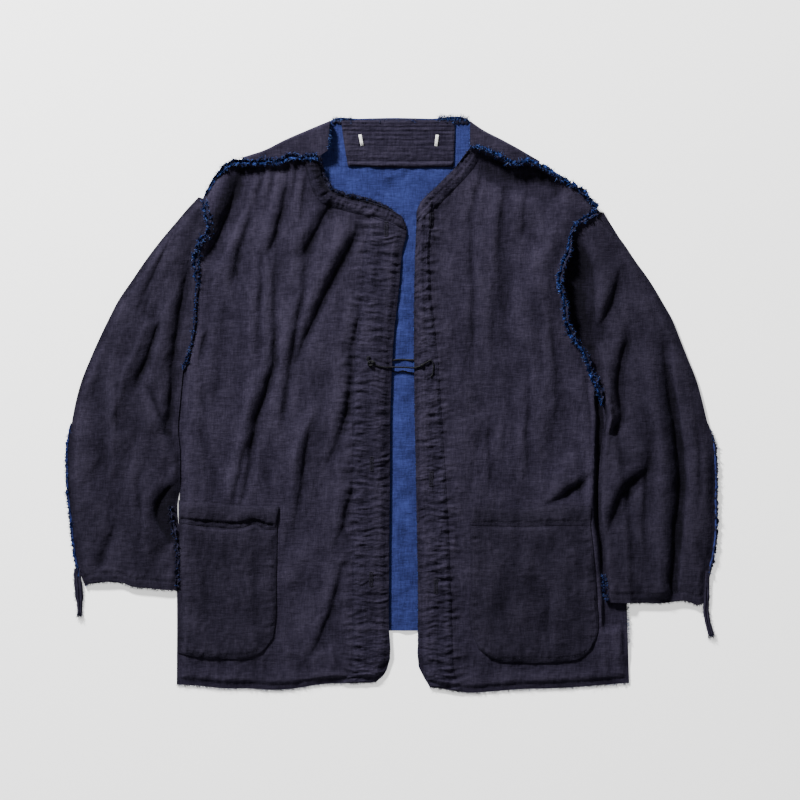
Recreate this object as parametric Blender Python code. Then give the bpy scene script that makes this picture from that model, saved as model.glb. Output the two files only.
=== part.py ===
"""Unlined liner jacket of double gauze, laid flat on its back with its front up.

Lengths in the tables are millimetres. +X is the wearer's left, +Y the collar, and +Z up from the
surface that the jacket lies on. The origin is under the middle of the jacket.
"""
import math
import random

import bpy
import numpy as np
from mathutils import Vector
from mathutils.bvhtree import BVHTree

MM = 0.001

CLOTH = 1.6                # wall of one panel: two loose layers of gauze
GAP = 0.3                  # clear space between pieces that are sewn or lie together
LAYER = CLOTH + GAP        # height of a panel laid on another
SLACK = 3.4                # how far the loose cloth stands off the panel under it
EDGE_FALL = 14.0           # width over which it comes down to a seam or an edge
SHOULDER_ROLL = 3.6        # outer radius of the back where it folds over the shoulder
SEAM_RISE = 2 * SHOULDER_ROLL - LAYER - CLOTH   # rise of a front where it meets that fold
ARMHOLE_RISE = 2.0         # rise of the cloth at the armhole seam
CUFF_RISE = 2.2            # rise of the sleeve's upper half at its open end
BACK_HEM_Y = -286.0        # the back is shorter than the fronts
HEM_DROP = (-308.0, -330.0)     # where the fronts come down past the back's hem
BAND = 1.2                 # thickness that the bands, pockets and patch add
POCKET_HEM = 2.6           # the turned pocket hem is puffed
ARMHOLE_ROWS = 12
SIDE_ROWS = 17
SHOULDER_COLUMNS = 12
NECK_COLUMNS = 11
SLEEVE_ROWS = 14           # below the armhole
SLEEVE_COLUMNS = 9         # beyond the drop line
BAND_COLUMNS = 5
CREASE_IN = 6.0            # first line of the sleeve inside its seam
DROP_IN = 9.0              # from there to the line where it has come down to the surface
SIDE_CLEAR = 1.5           # the sleeve's first line clears the body's side by this
COVER_CLEAR = 13.0         # the front stays flat this far inside the sleeve that lies on it
COVER_ENDS = (22.0, 26.0)  # and this far past the sleeve's ends, up and down
NARROW_SHARE = 0.2         # most of a narrow sleeve's width that each of the two lines takes
CLIMB_ROWS = (3, 2)        # the left sleeve climbs onto the body: rows before the armhole's end, rows
NECK_BAND_SHARE = 0.97     # depth of the neck band, of the first row of cells
NECK_BAND_GAP = 0.45       # the neck band lies on steep cloth, so it is lifted a little more
FOLD_END = 6.0             # a fold fades out past its route's ends
FOLD_FADE = 0.3            # and over this share of its length
CORD_CLEAR = 0.5           # the closure's cord lies this far off the bands
CORD_LEVEL = 5.2           # and hangs this high over the gap between the fronts
FRONT_GAP = (0.0, 33.0)    # x of the two front edges there

NAVY = (0.034, 0.032, 0.052)
NAVY_BAND = (0.030, 0.028, 0.046)
BLUE = (0.030, 0.090, 0.300)
BLACK = (0.006, 0.006, 0.008)

# Outlines of each side, from the shoulder tip. The jacket doesn't lie quite evenly.
RIGHT = {
    "armhole": [(-236, 256), (-232, 236), (-229, 217), (-242, 198), (-246, 179), (-244, 148),
                (-246, 123), (-248, 92), (-254, 64), (-261, 42)],
    "side": [(-261, 42), (-264, 4), (-267, -33), (-264, -83), (-264, -121), (-267, -177),
             (-267, -246), (-267, -286), (-268, -351)],
    "back_tip": [(-237, 257), (-230, 269), (-224, 280), (-214, 293), (-198, 304), (-186, 308)],
    "fold": [(-185, 308), (-158, 317), (-134, 329), (-104, 342), (-77, 353)],
    "flap_seam": [(-185, 302), (-158, 303), (-139, 304), (-127, 309), (-114, 308), (-92, 308),
                  (-79, 316)],
    "front_seam": [(-236, 256), (-229, 267), (-223, 278), (-212, 291), (-197, 301.6),
                   (-185, 301.6), (-158, 302.6), (-139, 303.6), (-127, 308.6), (-114, 307.6),
                   (-92, 307.6)],
    "neckline": [(-92, 307.6), (-88, 290), (-76, 267), (-52, 258), (-27, 252), (-2, 243),
                 (13, 234)],
    "front_edge": [(13, 234), (18, 222), (13, 186), (9, 142), (3, 86), (-1, 4), (-2, -96),
                   (-3, -196), (-3, -286), (-2, -314), (-8, -336), (-19, -348)],
    "hem": [(-268, -351), (-239, -353), (-208, -356), (-177, -356), (-146, -358), (-121, -356),
            (-89, -351), (-39, -349), (-19, -348)],
    "sleeve_inner": [(-261.5, 42), (-265, 4), (-268, -33), (-268, -83), (-270, -121),
                     (-270, -177), (-269, -233)],
    "sleeve_outer": [(-241, 258), (-256, 242), (-267, 229), (-288, 204), (-307, 179),
                     (-324, 154), (-341, 129), (-354, 104), (-366, 79), (-377, 54), (-387, 29),
                     (-394, 4), (-399, -21), (-403, -46), (-404, -83), (-402, -121),
                     (-399, -146), (-395, -183), (-390, -208), (-383, -228)],
    "pocket": [(-275, -149), (-227, -153.8), (-183, -153.8), (-171, -150), (-157, -156.8),
               (-143, -156.8), (-145, -318), (-275, -318)],
    "pocket_hem": [(-275, -120), (-232, -122), (-196, -126), (-142, -127), (-141, -156),
                   (-157, -156), (-171, -149.2), (-183, -153), (-227, -153), (-275, -148)],
    "pocket_corners": (6,),
}
LEFT = {
    "armhole": [(261, 239), (246, 233), (227, 217), (223, 192), (214, 169), (211, 154),
                (217, 129), (221, 98), (229, 82), (242, 64), (251, 39), (261, 14), (264, -3)],
    "side": [(264, -3), (271, -33), (279, -77), (286, -121), (291, -183), (294, -249),
             (295, -286), (297, -349)],
    "back_tip": [(260, 241), (247, 254), (237, 267), (220, 279), (200, 292), (186, 301)],
    "fold": [(185, 303), (161, 317), (139, 329), (114, 342), (98, 353)],
    "flap_seam": [(185, 296), (167, 301), (154, 297), (146, 301), (136, 307), (123, 313),
                  (111, 318), (98, 319)],
    "front_seam": [(261, 239), (248, 251), (241, 261), (229, 270), (217, 276), (204, 284),
                   (185, 295.6), (167, 300.6), (154, 296.6), (146, 300.5), (136, 306.5),
                   (123, 312.5), (111, 317.5), (98, 318.6)],
    "neckline": [(98, 318.6), (89, 307), (79, 294), (67, 282), (54, 269), (42, 258), (36, 251)],
    "front_edge": [(36, 251), (32, 242), (31, 223), (31, -121), (32, -171), (33, -246),
                   (33, -286), (36, -333), (48, -354)],
    "hem": [(297, -349), (261, -352), (236, -354), (198, -356), (161, -357), (136, -359),
            (92, -361), (67, -357), (48, -354)],
    "sleeve_inner": [(264.5, -3), (264, -33), (262, -58), (261, -83), (257, -121), (258, -146),
                     (262, -177), (264, -208), (267, -233), (268, -248)],
    "sleeve_outer": [(265, 239), (276, 217), (287, 204), (304, 179), (322, 154), (337, 129),
                     (351, 104), (361, 79), (371, 54), (381, 29), (388, 4), (394, -21),
                     (401, -46), (404, -83), (404, -121), (403, -171), (399, -196),
                     (393, -221), (394, -246)],
    "pocket": [(248, -152), (98, -152), (101, -323), (259, -322)],
    "pocket_hem": [(249, -129), (211, -126), (161, -132), (101, -127), (98, -151.2),
                   (248, -151.2)],
    "pocket_corners": (2, 3),
}
POCKET_RADIUS = 32.0
BACK_HEM = [(-267, BACK_HEM_Y), (-60, -284), (60, -284), (295, BACK_HEM_Y)]
NECK_EDGE = [(95, 355), (50, 356), (0, 357), (-40, 356), (-74, 355)]
BACK_NECK = (-63, 79, 352, 298)       # the patch: x from and to, y from and to
PATCH_ROWS = [(352, 0.0), (349, 0.6), (345, 0.1), (341, 0.6), (336, 0.1), (331, 0.6),
              (322, 0.6), (317, 0.1), (312, 0.6), (305, 0.6), (301, 0.1), (298, 0.3)]

# Folds of the loose cloth. height (minus for a trough), half_width, route
RIGHT_FRONT_FOLDS = [
    (-4.0, 9, [(-189, 286), (-208, 248), (-218, 211), (-229, 201)]),
    (4.5, 12, [(-170, 290), (-185, 245), (-200, 200), (-215, 150)]),
    (-3.0, 7, [(-129, 279), (-138, 236), (-151, 194)]),
    (3.5, 14, [(-110, 280), (-118, 220), (-128, 150)]),
    (-4.0, 8, [(-76, 261), (-89, 219), (-108, 186), (-114, 129), (-121, 73), (-132, 11)]),
    (3.0, 10, [(-60, 235), (-80, 185), (-100, 140)]),
    (-4.5, 9, [(-42, 219), (-64, 177), (-89, 123), (-111, 73), (-116, 64)]),
    (4.5, 13, [(-25, 200), (-50, 150), (-75, 100), (-98, 50)]),
    (4.0, 12, [(-165, 140), (-168, 60), (-178, 0), (-195, -60)]),
    (-4.0, 8, [(-148, 142), (-149, 67), (-158, 11), (-169, -21), (-177, -71), (-186, -121)]),
    (4.0, 12, [(-135, 100), (-140, 30), (-150, -30), (-160, -100)]),
    (-3.0, 7, [(-181, -46), (-190, -71), (-199, -121)]),
    (-3.5, 8, [(-39, 129), (-52, 67), (-56, 29), (-58, -14), (-71, -52), (-77, -64)]),
    (4.5, 14, [(-89, 4), (-114, -46), (-133, -96)]),
    (-3.0, 8, [(-52, -96), (-61, -158), (-71, -177)]),
    (3.5, 12, [(-114, -177), (-129, -233)]),
    (-3.0, 10, [(-71, -246), (-77, -296), (-102, -321)]),
    (3.0, 14, [(-240, 100), (-245, 0), (-240, -100)]),
]
LEFT_FRONT_FOLDS = [
    (-3.0, 9, [(248, -89), (229, -104), (211, -117), (192, -124)]),
    (3.0, 12, [(235, -60), (215, -85), (190, -100)]),
    (-2.5, 9, [(161, 223), (192, 192)]),
    (3.0, 22, [(120, 270), (110, 150), (105, 50)]),
    (3.5, 20, [(190, 240), (172, 120), (180, 20), (188, -60)]),
    (-2.5, 12, [(150, 250), (143, 130), (145, 30), (152, -60)]),
    (2.5, 18, [(80, 60), (85, -60), (80, -200)]),
    (-2.5, 10, [(110, -20), (118, -70), (140, -110)]),
    (3.0, 16, [(150, -180), (200, -230), (220, -280)]),
]
RIGHT_SLEEVE_FOLDS = [
    (-4.0, 8, [(-262, 154), (-269, 92), (-274, 54), (-277, 11), (-282, -27)]),
    (5.0, 12, [(-278, 150), (-287, 90), (-298, 40), (-310, 0)]),
    (-3.5, 8, [(-294, 98), (-304, 73), (-322, 23)]),
    (-4.0, 8, [(-302, 11), (-294, -8), (-283, -27), (-267, -64)]),
    (4.5, 14, [(-310, 150), (-335, 90), (-350, 30), (-343, -40), (-347, -96)]),
    (3.5, 14, [(-375, 0), (-380, -90), (-370, -170)]),
    (-3.0, 8, [(-349, -158), (-371, -211)]),
    (4.0, 12, [(-250, 235), (-262, 200), (-285, 160)]),
    (-4.0, 10, [(-274, -108), (-290, -135), (-290, -158), (-276, -174)]),
    (4.0, 13, [(-290, -60), (-306, -110), (-310, -160), (-297, -215)]),
]
LEFT_SLEEVE_FOLDS = [
    (-5.0, 9, [(230, 178), (231, 130), (238, 85)]),
    (5.5, 12, [(252, 205), (258, 150), (266, 110)]),
    (-4.0, 8, [(286, 167), (276, 126), (254, 92), (251, 79)]),
    (-4.5, 8, [(292, 98), (294, 73), (284, 42), (283, 17), (291, -14), (276, -36)]),
    (4.5, 14, [(300, 160), (325, 100), (350, 60), (370, 0)]),
    (5.0, 11, [(318, 90), (324, 30), (334, -30), (340, -90), (338, -160), (332, -235)]),
    (-5.0, 8, [(336, 79), (342, 29), (351, -21), (357, -83), (354, -158), (348, -246)]),
    (4.0, 13, [(374, -40), (382, -120), (374, -200)]),
    (4.5, 13, [(300, -20), (306, -75)]),
    (-4.0, 8, [(314, -83), (288, -108), (275, -143)]),
    (4.0, 13, [(300, -130), (306, -190), (298, -240)]),
]

KNOT = (-25.0, 52.0, 4.5)             # x, y and radius of the closure's knot
TOGGLE = (47.0, 46.0, 3.2)
CORD_RADIUS = 0.8
THIN_CORD_RADIUS = 0.6
THIN_CORDS = (("closure_cord_upper", 54.5, 0.3), ("closure_cord_lower", 40.0, 2.0))  # y and wave

# Raw seam edges. strands, length of the longest, height of their strip over the cloth, seed
SHOULDER_FRINGE = (14, 9.0, 0.8, 3)
ARMHOLE_FRINGE = (24, 9.0, 1.1, 5)
SLEEVE_FRINGE = (16, 5.0, 0.8, 7)
NECK_FRINGE = (14, 6.0, 0.8, 9)
SLEEVE_FRINGE_SPAN = (-205.0, -20.0)  # y from and to, along the outer seam
NECK_STRIP_HEIGHT = 1.0
NECK_FRINGE_OUT = 1.0


def remove_everything():
    for item in list(bpy.data.objects):
        bpy.data.objects.remove(item, do_unlink=True)


def material(name, colour, roughness=0.95):
    made = bpy.data.materials.new(name)
    made.use_nodes = True
    shader = made.node_tree.nodes["Principled BSDF"]
    shader.inputs["Base Color"].default_value = (*colour, 1.0)
    shader.inputs["Roughness"].default_value = roughness
    shader.inputs["Metallic"].default_value = 0.0
    return made


def add_mesh(name, points, faces, cloth, smooth=True):
    """One object from points in millimetres, with its faces pointing out."""
    mesh = bpy.data.meshes.new(name)
    mesh.from_pydata([tuple(float(c) * MM for c in p) for p in points], [], faces)
    mesh.validate()
    made = bpy.data.objects.new(name, mesh)
    bpy.context.scene.collection.objects.link(made)
    mesh.materials.append(cloth)
    if signed_volume(points, faces) < 0:
        mesh.flip_normals()
    if smooth:
        mesh.shade_smooth()
        mesh.set_sharp_from_angle(angle=math.radians(50))
    return made


def signed_volume(points, faces):
    total = 0.0
    for face in faces:
        first = np.array(points[face[0]], float)
        for k in range(1, len(face) - 1):
            total += float(np.dot(first, np.cross(points[face[k]], points[face[k + 1]])))
    return total


def rail(knots, count):
    """Stations along a polyline, every knot among them, the rest spread by length."""
    knots = np.array(knots, float)
    lengths = np.linalg.norm(np.diff(knots, axis=0), axis=1)
    steps = np.ones(len(lengths), int)
    while steps.sum() < count - 1:
        steps[np.argmax(lengths / steps)] += 1
    stations = [knots[0]]
    for k, step in enumerate(steps):
        for part in range(1, step + 1):
            stations.append(knots[k] + (knots[k + 1] - knots[k]) * part / step)
    return np.array(stations)


def patch(top, bottom, side, edge):
    """Coons patch: rows run from top to bottom, columns from side to edge."""
    rows, columns = len(side), len(top)
    down = np.linspace(0, 1, rows)[:, None, None]
    across = np.linspace(0, 1, columns)[None, :, None]
    ruled = (1 - across) * side[:, None] + across * edge[:, None]
    lofted = (1 - down) * top[None] + down * bottom[None]
    corners = ((1 - down) * ((1 - across) * top[0] + across * top[-1])
               + down * ((1 - across) * bottom[0] + across * bottom[-1]))
    return ruled + lofted - corners


def smoothstep(value):
    value = np.clip(value, 0, 1)
    return value * value * (3 - 2 * value)


def crease(plan, route, half_width):
    """One along a fold's route, falling off to its sides and its ends."""
    route = np.array(route, float)
    spans = np.linalg.norm(np.diff(route, axis=0), axis=1)
    nearest = np.full(plan.shape[:2], np.inf)
    along = np.zeros(plan.shape[:2])
    start = 0.0
    for first, last, span in zip(route[:-1], route[1:], spans):
        t = np.clip(((plan - first) @ (last - first)) / span ** 2, 0, 1)
        gap = np.linalg.norm(plan - (first + t[..., None] * (last - first)), axis=-1)
        closer = gap < nearest
        nearest = np.where(closer, gap, nearest)
        along = np.where(closer, start + t * span, along)
        start += span
    ends = smoothstep((np.minimum(along, start - along) + FOLD_END)
                      / (FOLD_FADE * start + FOLD_END))
    return ends * np.exp(-((nearest / half_width) ** 2))


def relief(plan, folds):
    """Rise of the loose cloth over the panel under it."""
    rise = np.full(plan.shape[:2], SLACK)
    for height, half_width, route in folds:
        rise = rise + height * crease(plan, route, half_width)
    return np.where(rise < 1, np.exp(np.minimum(rise, 1) - 1), rise)


def settle(rise, plan, side, edge, top, bottom):
    """Bring the rise down to its value along each of the four boundaries."""
    across = np.linalg.norm(np.diff(plan, axis=1), axis=-1)
    down = np.linalg.norm(np.diff(plan, axis=0), axis=-1)
    from_side = np.pad(np.cumsum(across, axis=1), ((0, 0), (1, 0)))
    from_top = np.pad(np.cumsum(down, axis=0), ((1, 0), (0, 0)))
    for distance, value in (
        (from_top[-1:] - from_top, np.asarray(bottom, float)[None, :]),
        (from_top, np.asarray(top, float)[None, :]),
        (from_side[:, -1:] - from_side, np.asarray(edge, float)[:, None]),
        (from_side, np.asarray(side, float)[:, None]),
    ):
        share = smoothstep(distance / EDGE_FALL)
        rise = value * (1 - share) + rise * share
    return rise


def raised(plan, height):
    return np.concatenate([plan, height[..., None]], axis=-1)


def moved_out(points, distance):
    """The same points, straight up by the distance."""
    return points + np.array([0, 0, distance])


def inside_of(points, thickness):
    """The other face of a wall: square to the cloth, straight down along its boundary."""
    down = np.gradient(points, axis=0)
    across = np.gradient(points, axis=1)
    normal = np.cross(down, across)
    normal /= np.linalg.norm(normal, axis=-1, keepdims=True)
    normal *= np.sign(normal[..., 2:3])
    for boundary in (np.s_[0], np.s_[-1], np.s_[:, 0], np.s_[:, -1]):
        normal[boundary] = (0, 0, 1)
    return points - thickness * normal


def wall(name, outer, inner, cloth):
    """Closed wall between two grids of points, its cells split along one diagonal."""
    rows, columns = outer.shape[:2]
    far = rows * columns
    points = np.concatenate([outer.reshape(-1, 3), inner.reshape(-1, 3)])
    faces = []
    for i in range(rows - 1):
        for j in range(columns - 1):
            a = i * columns + j
            b, c, d = a + 1, a + columns + 1, a + columns
            faces += [(a, b, c), (a, c, d), (far + c, far + b, far + a), (far + d, far + c, far + a)]
    ring = [j for j in range(columns)]
    ring += [i * columns + columns - 1 for i in range(1, rows)]
    ring += [(rows - 1) * columns + j for j in range(columns - 2, -1, -1)]
    ring += [i * columns for i in range(rows - 2, 0, -1)]
    for a, b in zip(ring, ring[1:] + ring[:1]):
        faces += [(b, a, far + a), (b, far + a, far + b)]
    return add_mesh(name, points, faces, cloth)


def fold_section(fold, seam):
    """Outer and inner points of the back where it rolls over the shoulder, from below."""
    towards = np.array(seam, float) - np.array(fold, float)
    towards /= np.linalg.norm(towards)
    centre = np.array(fold, float) + towards * SHOULDER_ROLL
    pairs = []
    for degrees in (-90, -45, 0, 45, 90):
        turn = math.radians(degrees)
        pair = []
        for radius in (SHOULDER_ROLL, SHOULDER_ROLL - CLOTH):
            flat = centre - towards * radius * math.cos(turn)
            pair.append((flat[0], flat[1], SHOULDER_ROLL + radius * math.sin(turn)))
        pairs.append(pair)
    pairs.append([(*seam, 2 * SHOULDER_ROLL), (*seam, 2 * SHOULDER_ROLL - CLOTH)])
    return pairs


def flat_section(point):
    return [[(point[0], point[1], 0.0), (point[0], point[1], CLOTH)]]


def make_back(cloth):
    """The flat panel and the two flaps that its shoulders fold over, as one wall."""
    outline = []
    for side in (RIGHT, LEFT):
        down = [*rail(side["armhole"], ARMHOLE_ROWS), *rail(side["side"], SIDE_ROWS)[1:]]
        body = [flat_section(p) for p in down if p[1] > BACK_HEM_Y + 1]
        tip = [flat_section(p) for p in side["back_tip"]]
        columns = SHOULDER_COLUMNS
        flap = [fold_section(f, s) for f, s in zip(rail(side["fold"], columns),
                                                    rail(side["flap_seam"], columns))]
        outline.append((body, tip, flap))
    (right_body, right_tip, right_flap), (left_body, left_tip, left_flap) = outline
    hem = [flat_section(p) for p in BACK_HEM]
    neck = [flat_section(p) for p in NECK_EDGE]
    ring = [*hem, *left_body[::-1], *left_tip, *left_flap, *neck, *right_flap[::-1],
            *right_tip[::-1], *right_body]
    points, index = [], []
    for section in ring:
        index.append([])
        for outer, inner in section:
            index[-1].append((len(points), len(points) + 1))
            points += [outer, inner]
    bottom = tuple(pairs[0][0] for pairs in index)
    faces = [bottom[::-1], tuple(pairs[0][1] for pairs in index)]
    for here, after in zip(index, index[1:] + index[:1]):
        if len(here) > 1 and len(after) > 1:
            faces += strip_between([p[0] for p in here], [p[0] for p in after])
            faces += strip_between([p[1] for p in after], [p[1] for p in here])
            faces.append((here[-1][0], after[-1][0], after[-1][1], here[-1][1]))
            continue
        faces.append((here[0][0], after[0][0], after[0][1], here[0][1]))
        if len(here) > 1:
            faces += strip_between([p[0] for p in here], [p[1] for p in here])
        if len(after) > 1:
            faces += strip_between([p[1] for p in after], [p[0] for p in after])
    return add_mesh("back", points, faces, cloth)


def strip_between(first, second):
    """Quads between two rows of point numbers."""
    return [(first[k], second[k], second[k + 1], first[k + 1]) for k in range(len(first) - 1)]


def under_sleeve(plan, side):
    """One where the left sleeve lies on the front, falling to nothing beside it."""
    inner = np.array(side["sleeve_inner"], float)
    edge_x = np.interp(-plan[..., 1], -inner[:, 1], inner[:, 0])
    beside = smoothstep((plan[..., 0] - (edge_x - COVER_CLEAR - EDGE_FALL)) / EDGE_FALL)
    top, bottom = inner[0, 1] + COVER_ENDS[0], inner[-1, 1] - COVER_ENDS[1]
    along = smoothstep((top + EDGE_FALL - plan[..., 1]) / EDGE_FALL)
    along = along * smoothstep((plan[..., 1] - (bottom - EDGE_FALL)) / EDGE_FALL)
    return beside * along


def front_surface(side, folds, covered):
    """Outer points of a front, one row for each station down its side."""
    top = np.concatenate([rail(side["front_seam"], SHOULDER_COLUMNS + 2),
                          rail(side["neckline"], NECK_COLUMNS)[1:]])
    down = np.concatenate([rail(side["armhole"], ARMHOLE_ROWS + 1),
                           rail(side["side"], SIDE_ROWS)[1:]])
    rows, columns = len(down), len(top)
    plan = patch(top, rail(side["hem"], columns), down, rail(side["front_edge"], rows))
    shoulder = SHOULDER_COLUMNS + 1
    top_rise = np.interp(range(columns), [0, 5, shoulder, columns - 1],
                         [0, SEAM_RISE, SEAM_RISE, 0])
    side_rise = np.zeros(rows)
    side_rise[1:ARMHOLE_ROWS] = ARMHOLE_RISE
    rise = settle(relief(plan, folds), plan, side_rise, np.zeros(rows), top_rise,
                  np.zeros(columns))
    if covered:
        cover = under_sleeve(plan, side)
        cover[:ARMHOLE_ROWS, 0] = 0
        rise = rise * (1 - cover)
    high, low = HEM_DROP
    base = LAYER * np.clip((plan[..., 1] - low) / (high - low), 0, 1)
    return raised(plan, base + CLOTH + rise)


def sleeve_plan(side, sign):
    """Points of a sleeve seen from above, and the height of what it lies on."""
    seam = rail(side["armhole"], ARMHOLE_ROWS + 1)
    inner = np.concatenate([seam + (sign * GAP, 0),
                            rail(side["sleeve_inner"], SLEEVE_ROWS)[1:]])
    outer = rail(side["sleeve_outer"], len(inner))
    width = np.abs(outer[:, 0] - inner[:, 0])
    body = np.array(side["side"], float)
    body_x = sign * np.interp(-inner[:, 1], -body[:, 1], body[:, 0])
    crease_x = sign * inner[:, 0] + np.minimum(CREASE_IN, NARROW_SHARE * width)
    on_body = np.arange(len(inner)) > ARMHOLE_ROWS
    crease_x = np.where(on_body, np.maximum(crease_x, body_x + SIDE_CLEAR), crease_x)
    drop_x = crease_x + np.minimum(DROP_IN, NARROW_SHARE * width)
    lines = [inner]
    for x in (crease_x, drop_x):
        share = (x - sign * inner[:, 0]) / width
        lines.append(inner + (outer - inner) * share[:, None])
    for k in range(1, SLEEVE_COLUMNS + 1):
        lines.append(lines[2] + (outer - lines[2]) * k / SLEEVE_COLUMNS)
    plan = np.stack(lines, axis=1)
    floor = np.zeros(plan.shape[:2])
    if side is LEFT:
        before, climb = CLIMB_ROWS
        share = np.clip((np.arange(len(inner)) - ARMHOLE_ROWS + before) / climb, 0, 1)
        floor[:, :2] = 2 * LAYER * share[:, None]
    return plan, floor


def sleeve_surface(plan, floor, folds):
    """Outer points of the upper half."""
    rows, columns = plan.shape[:2]
    inner_rise = np.zeros(rows)
    inner_rise[1:ARMHOLE_ROWS] = ARMHOLE_RISE
    cuff_rise = np.full(columns, CUFF_RISE)
    cuff_rise[[0, -1]] = 0
    rise = settle(relief(plan, folds), plan, inner_rise, np.zeros(rows), np.zeros(columns),
                  cuff_rise)
    return raised(plan, floor + LAYER + CLOTH + rise)


def rounded(corners, turned, radius, steps=6):
    """An outline with some of its corners rounded."""
    corners = [Vector(c) for c in corners]
    outline = []
    for k, corner in enumerate(corners):
        if k not in turned:
            outline.append(corner)
            continue
        before = (corners[k - 1] - corner).normalized()
        after = (corners[(k + 1) % len(corners)] - corner).normalized()
        half = before.angle(after) / 2
        centre = corner + (before + after).normalized() * radius / math.sin(half)
        first = corner + before * radius / math.tan(half) - centre
        last = corner + after * radius / math.tan(half) - centre
        for step in range(steps + 1):
            turn = step / steps
            spoke = (first * math.sin((1 - turn) * first.angle(last))
                     + last * math.sin(turn * first.angle(last)))
            outline.append(centre + spoke / math.sin(first.angle(last)))
    return outline


def prism(name, outline, bottom, top, cloth):
    count = len(outline)
    points = [(p[0], p[1], z) for z in (bottom, top) for p in outline]
    faces = [tuple(range(count))[::-1], tuple(range(count, 2 * count))]
    faces += [(k, (k + 1) % count, count + (k + 1) % count, count + k) for k in range(count)]
    return add_mesh(name, points, faces, cloth, smooth=False)


def cut_from_panel(name, surface, outline, thickness, cloth):
    """A piece lying on a panel: the panel's points moved out, cut to the outline."""
    outline = np.array([tuple(p) for p in outline])
    lowest, highest = outline.min(axis=0), outline.max(axis=0)
    near = np.all((surface[..., :2] > lowest) & (surface[..., :2] < highest), axis=-1)
    rows = np.nonzero(near.any(axis=1))[0]
    columns = np.nonzero(near.any(axis=0))[0]
    part = surface[max(rows[0] - 1, 0):rows[-1] + 2, max(columns[0] - 2, 0):columns[-1] + 3]
    shell = wall(name, moved_out(part, GAP + thickness), moved_out(part, GAP), cloth)
    cutter = prism(name + "_outline", outline, -5, 45, cloth)
    cutter.hide_render = True
    cutter.display_type = "WIRE"
    cut = shell.modifiers.new("outline", "BOOLEAN")
    cut.operation = "INTERSECT"
    cut.solver = "EXACT"
    cut.object = cutter
    return shell


def make_fringe(name, route, fringe, cloth, lean=0.5, height=2.2, half=0.5):
    """Raw seam edge: a narrow standing strip, with strands rising from its short faces.

    lean is the share of the strands that lean away from the neck.
    """
    count, length, above, seed = fringe
    draw = random.Random(seed)
    route = moved_out(np.array(route, float), above)
    distance = np.concatenate([[0], np.cumsum(np.linalg.norm(np.diff(route, axis=0), axis=1))])
    root = 2.0
    spacing = distance[-1] / count
    places = [0.0]
    for k in range(count):
        start = (k + 0.5) * spacing - root / 2
        places += [start, start + root]
    places.append(distance[-1])
    line = np.stack([np.interp(places, distance, route[:, c]) for c in range(3)], axis=-1)
    heading = np.gradient(line, axis=0)
    heading[:, 2] = 0
    heading /= np.linalg.norm(heading, axis=1, keepdims=True)
    across = np.stack([heading[:, 1], -heading[:, 0], np.zeros(len(line))], axis=-1)
    up = np.array([0.0, 0.0, 1.0])
    points = []
    for centre, out in zip(line, across):
        points += [centre - out * half, centre + out * half, centre + up * height]
    faces = [(0, 2, 1), tuple(3 * (len(line) - 1) + k for k in (0, 1, 2))]
    for k in range(len(line) - 1):
        a, b = 3 * k, 3 * k + 3
        left, right = (a, b, b + 2, a + 2), (a + 1, a + 2, b + 2, b + 1)
        faces.append((a, a + 1, b + 1, b))
        if k % 2 == 0:
            faces += [left, right]
            continue
        outward = draw.random() < lean
        face, plain = (right, left) if outward else (left, right)
        side = across[k] * (1 if outward else -1)
        middle = sum(points[v] for v in face) / 4
        reach = length * draw.uniform(0.6, 1.0)
        sway = heading[k] * draw.uniform(-0.5, 0.5)
        tip = side * 0.5 + up * draw.uniform(0.7, 1.1) + sway
        points.append(middle + tip / np.linalg.norm(tip) * reach)
        faces.append(plain)
        faces += [(face[m], face[(m + 1) % 4], len(points) - 1) for m in range(4)]
    return add_mesh(name, points, faces, cloth, smooth=False)


def make_tail(name, route, radii, cloth, sides=5):
    """A twisted end of seam allowance: a tube that thins to its tip, just off the surface."""
    points, faces = [], []
    line = np.array(route, float)
    heading = np.gradient(line, axis=0)
    for k, (centre, ahead, radius) in enumerate(zip(line, heading, radii)):
        out = np.array([ahead[1], -ahead[0]]) / np.linalg.norm(ahead)
        for side in range(sides):
            turn = 2 * math.pi * side / sides + 0.5 * k
            flat = centre + out * radius * math.cos(turn)
            points.append((flat[0], flat[1], radius + GAP + radius * math.sin(turn)))
    for k in range(len(line) - 1):
        for side in range(sides):
            a, b = k * sides + side, k * sides + (side + 1) % sides
            faces.append((a, b, b + sides, a + sides))
    faces.append(tuple(range(sides))[::-1])
    faces.append(tuple(range((len(line) - 1) * sides, len(line) * sides)))
    return add_mesh(name, points, faces, cloth)


def make_patch(cloth):
    """Rectangle inside the back neck, quilted in rows."""
    left, right = BACK_NECK[:2]
    outer = np.array([[(x, y, LAYER + BAND + ridge) for x in (left, right)]
                      for y, ridge in PATCH_ROWS])
    inner = outer.copy()
    inner[..., 2] = LAYER
    return wall("neck_patch", outer, inner, cloth)


class Heights:
    """Looks up the highest point of some pieces at a place seen from above."""

    def __init__(self, pieces):
        self.trees = []
        for piece in pieces:
            corners = [v.co / MM for v in piece.data.vertices]
            faces = [tuple(p.vertices) for p in piece.data.polygons]
            self.trees.append(BVHTree.FromPolygons(corners, faces))

    def at(self, x, y):
        hits = [tree.ray_cast(Vector((x, y, 100)), Vector((0, 0, -1)))[0] for tree in self.trees]
        return max([hit.z for hit in hits if hit], default=CLOTH)


def make_tube(name, route, radius, cloth):
    """A cord: a bevelled curve through the route."""
    curve = bpy.data.curves.new(name, "CURVE")
    curve.dimensions = "3D"
    curve.bevel_depth = radius * MM
    curve.bevel_resolution = 2
    curve.use_fill_caps = True
    spline = curve.splines.new("POLY")
    spline.points.add(len(route) - 1)
    for point, place in zip(spline.points, route):
        point.co = (*(float(c) * MM for c in place), 1.0)
    made = bpy.data.objects.new(name, curve)
    bpy.context.scene.collection.objects.link(made)
    curve.materials.append(cloth)
    return made


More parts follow.
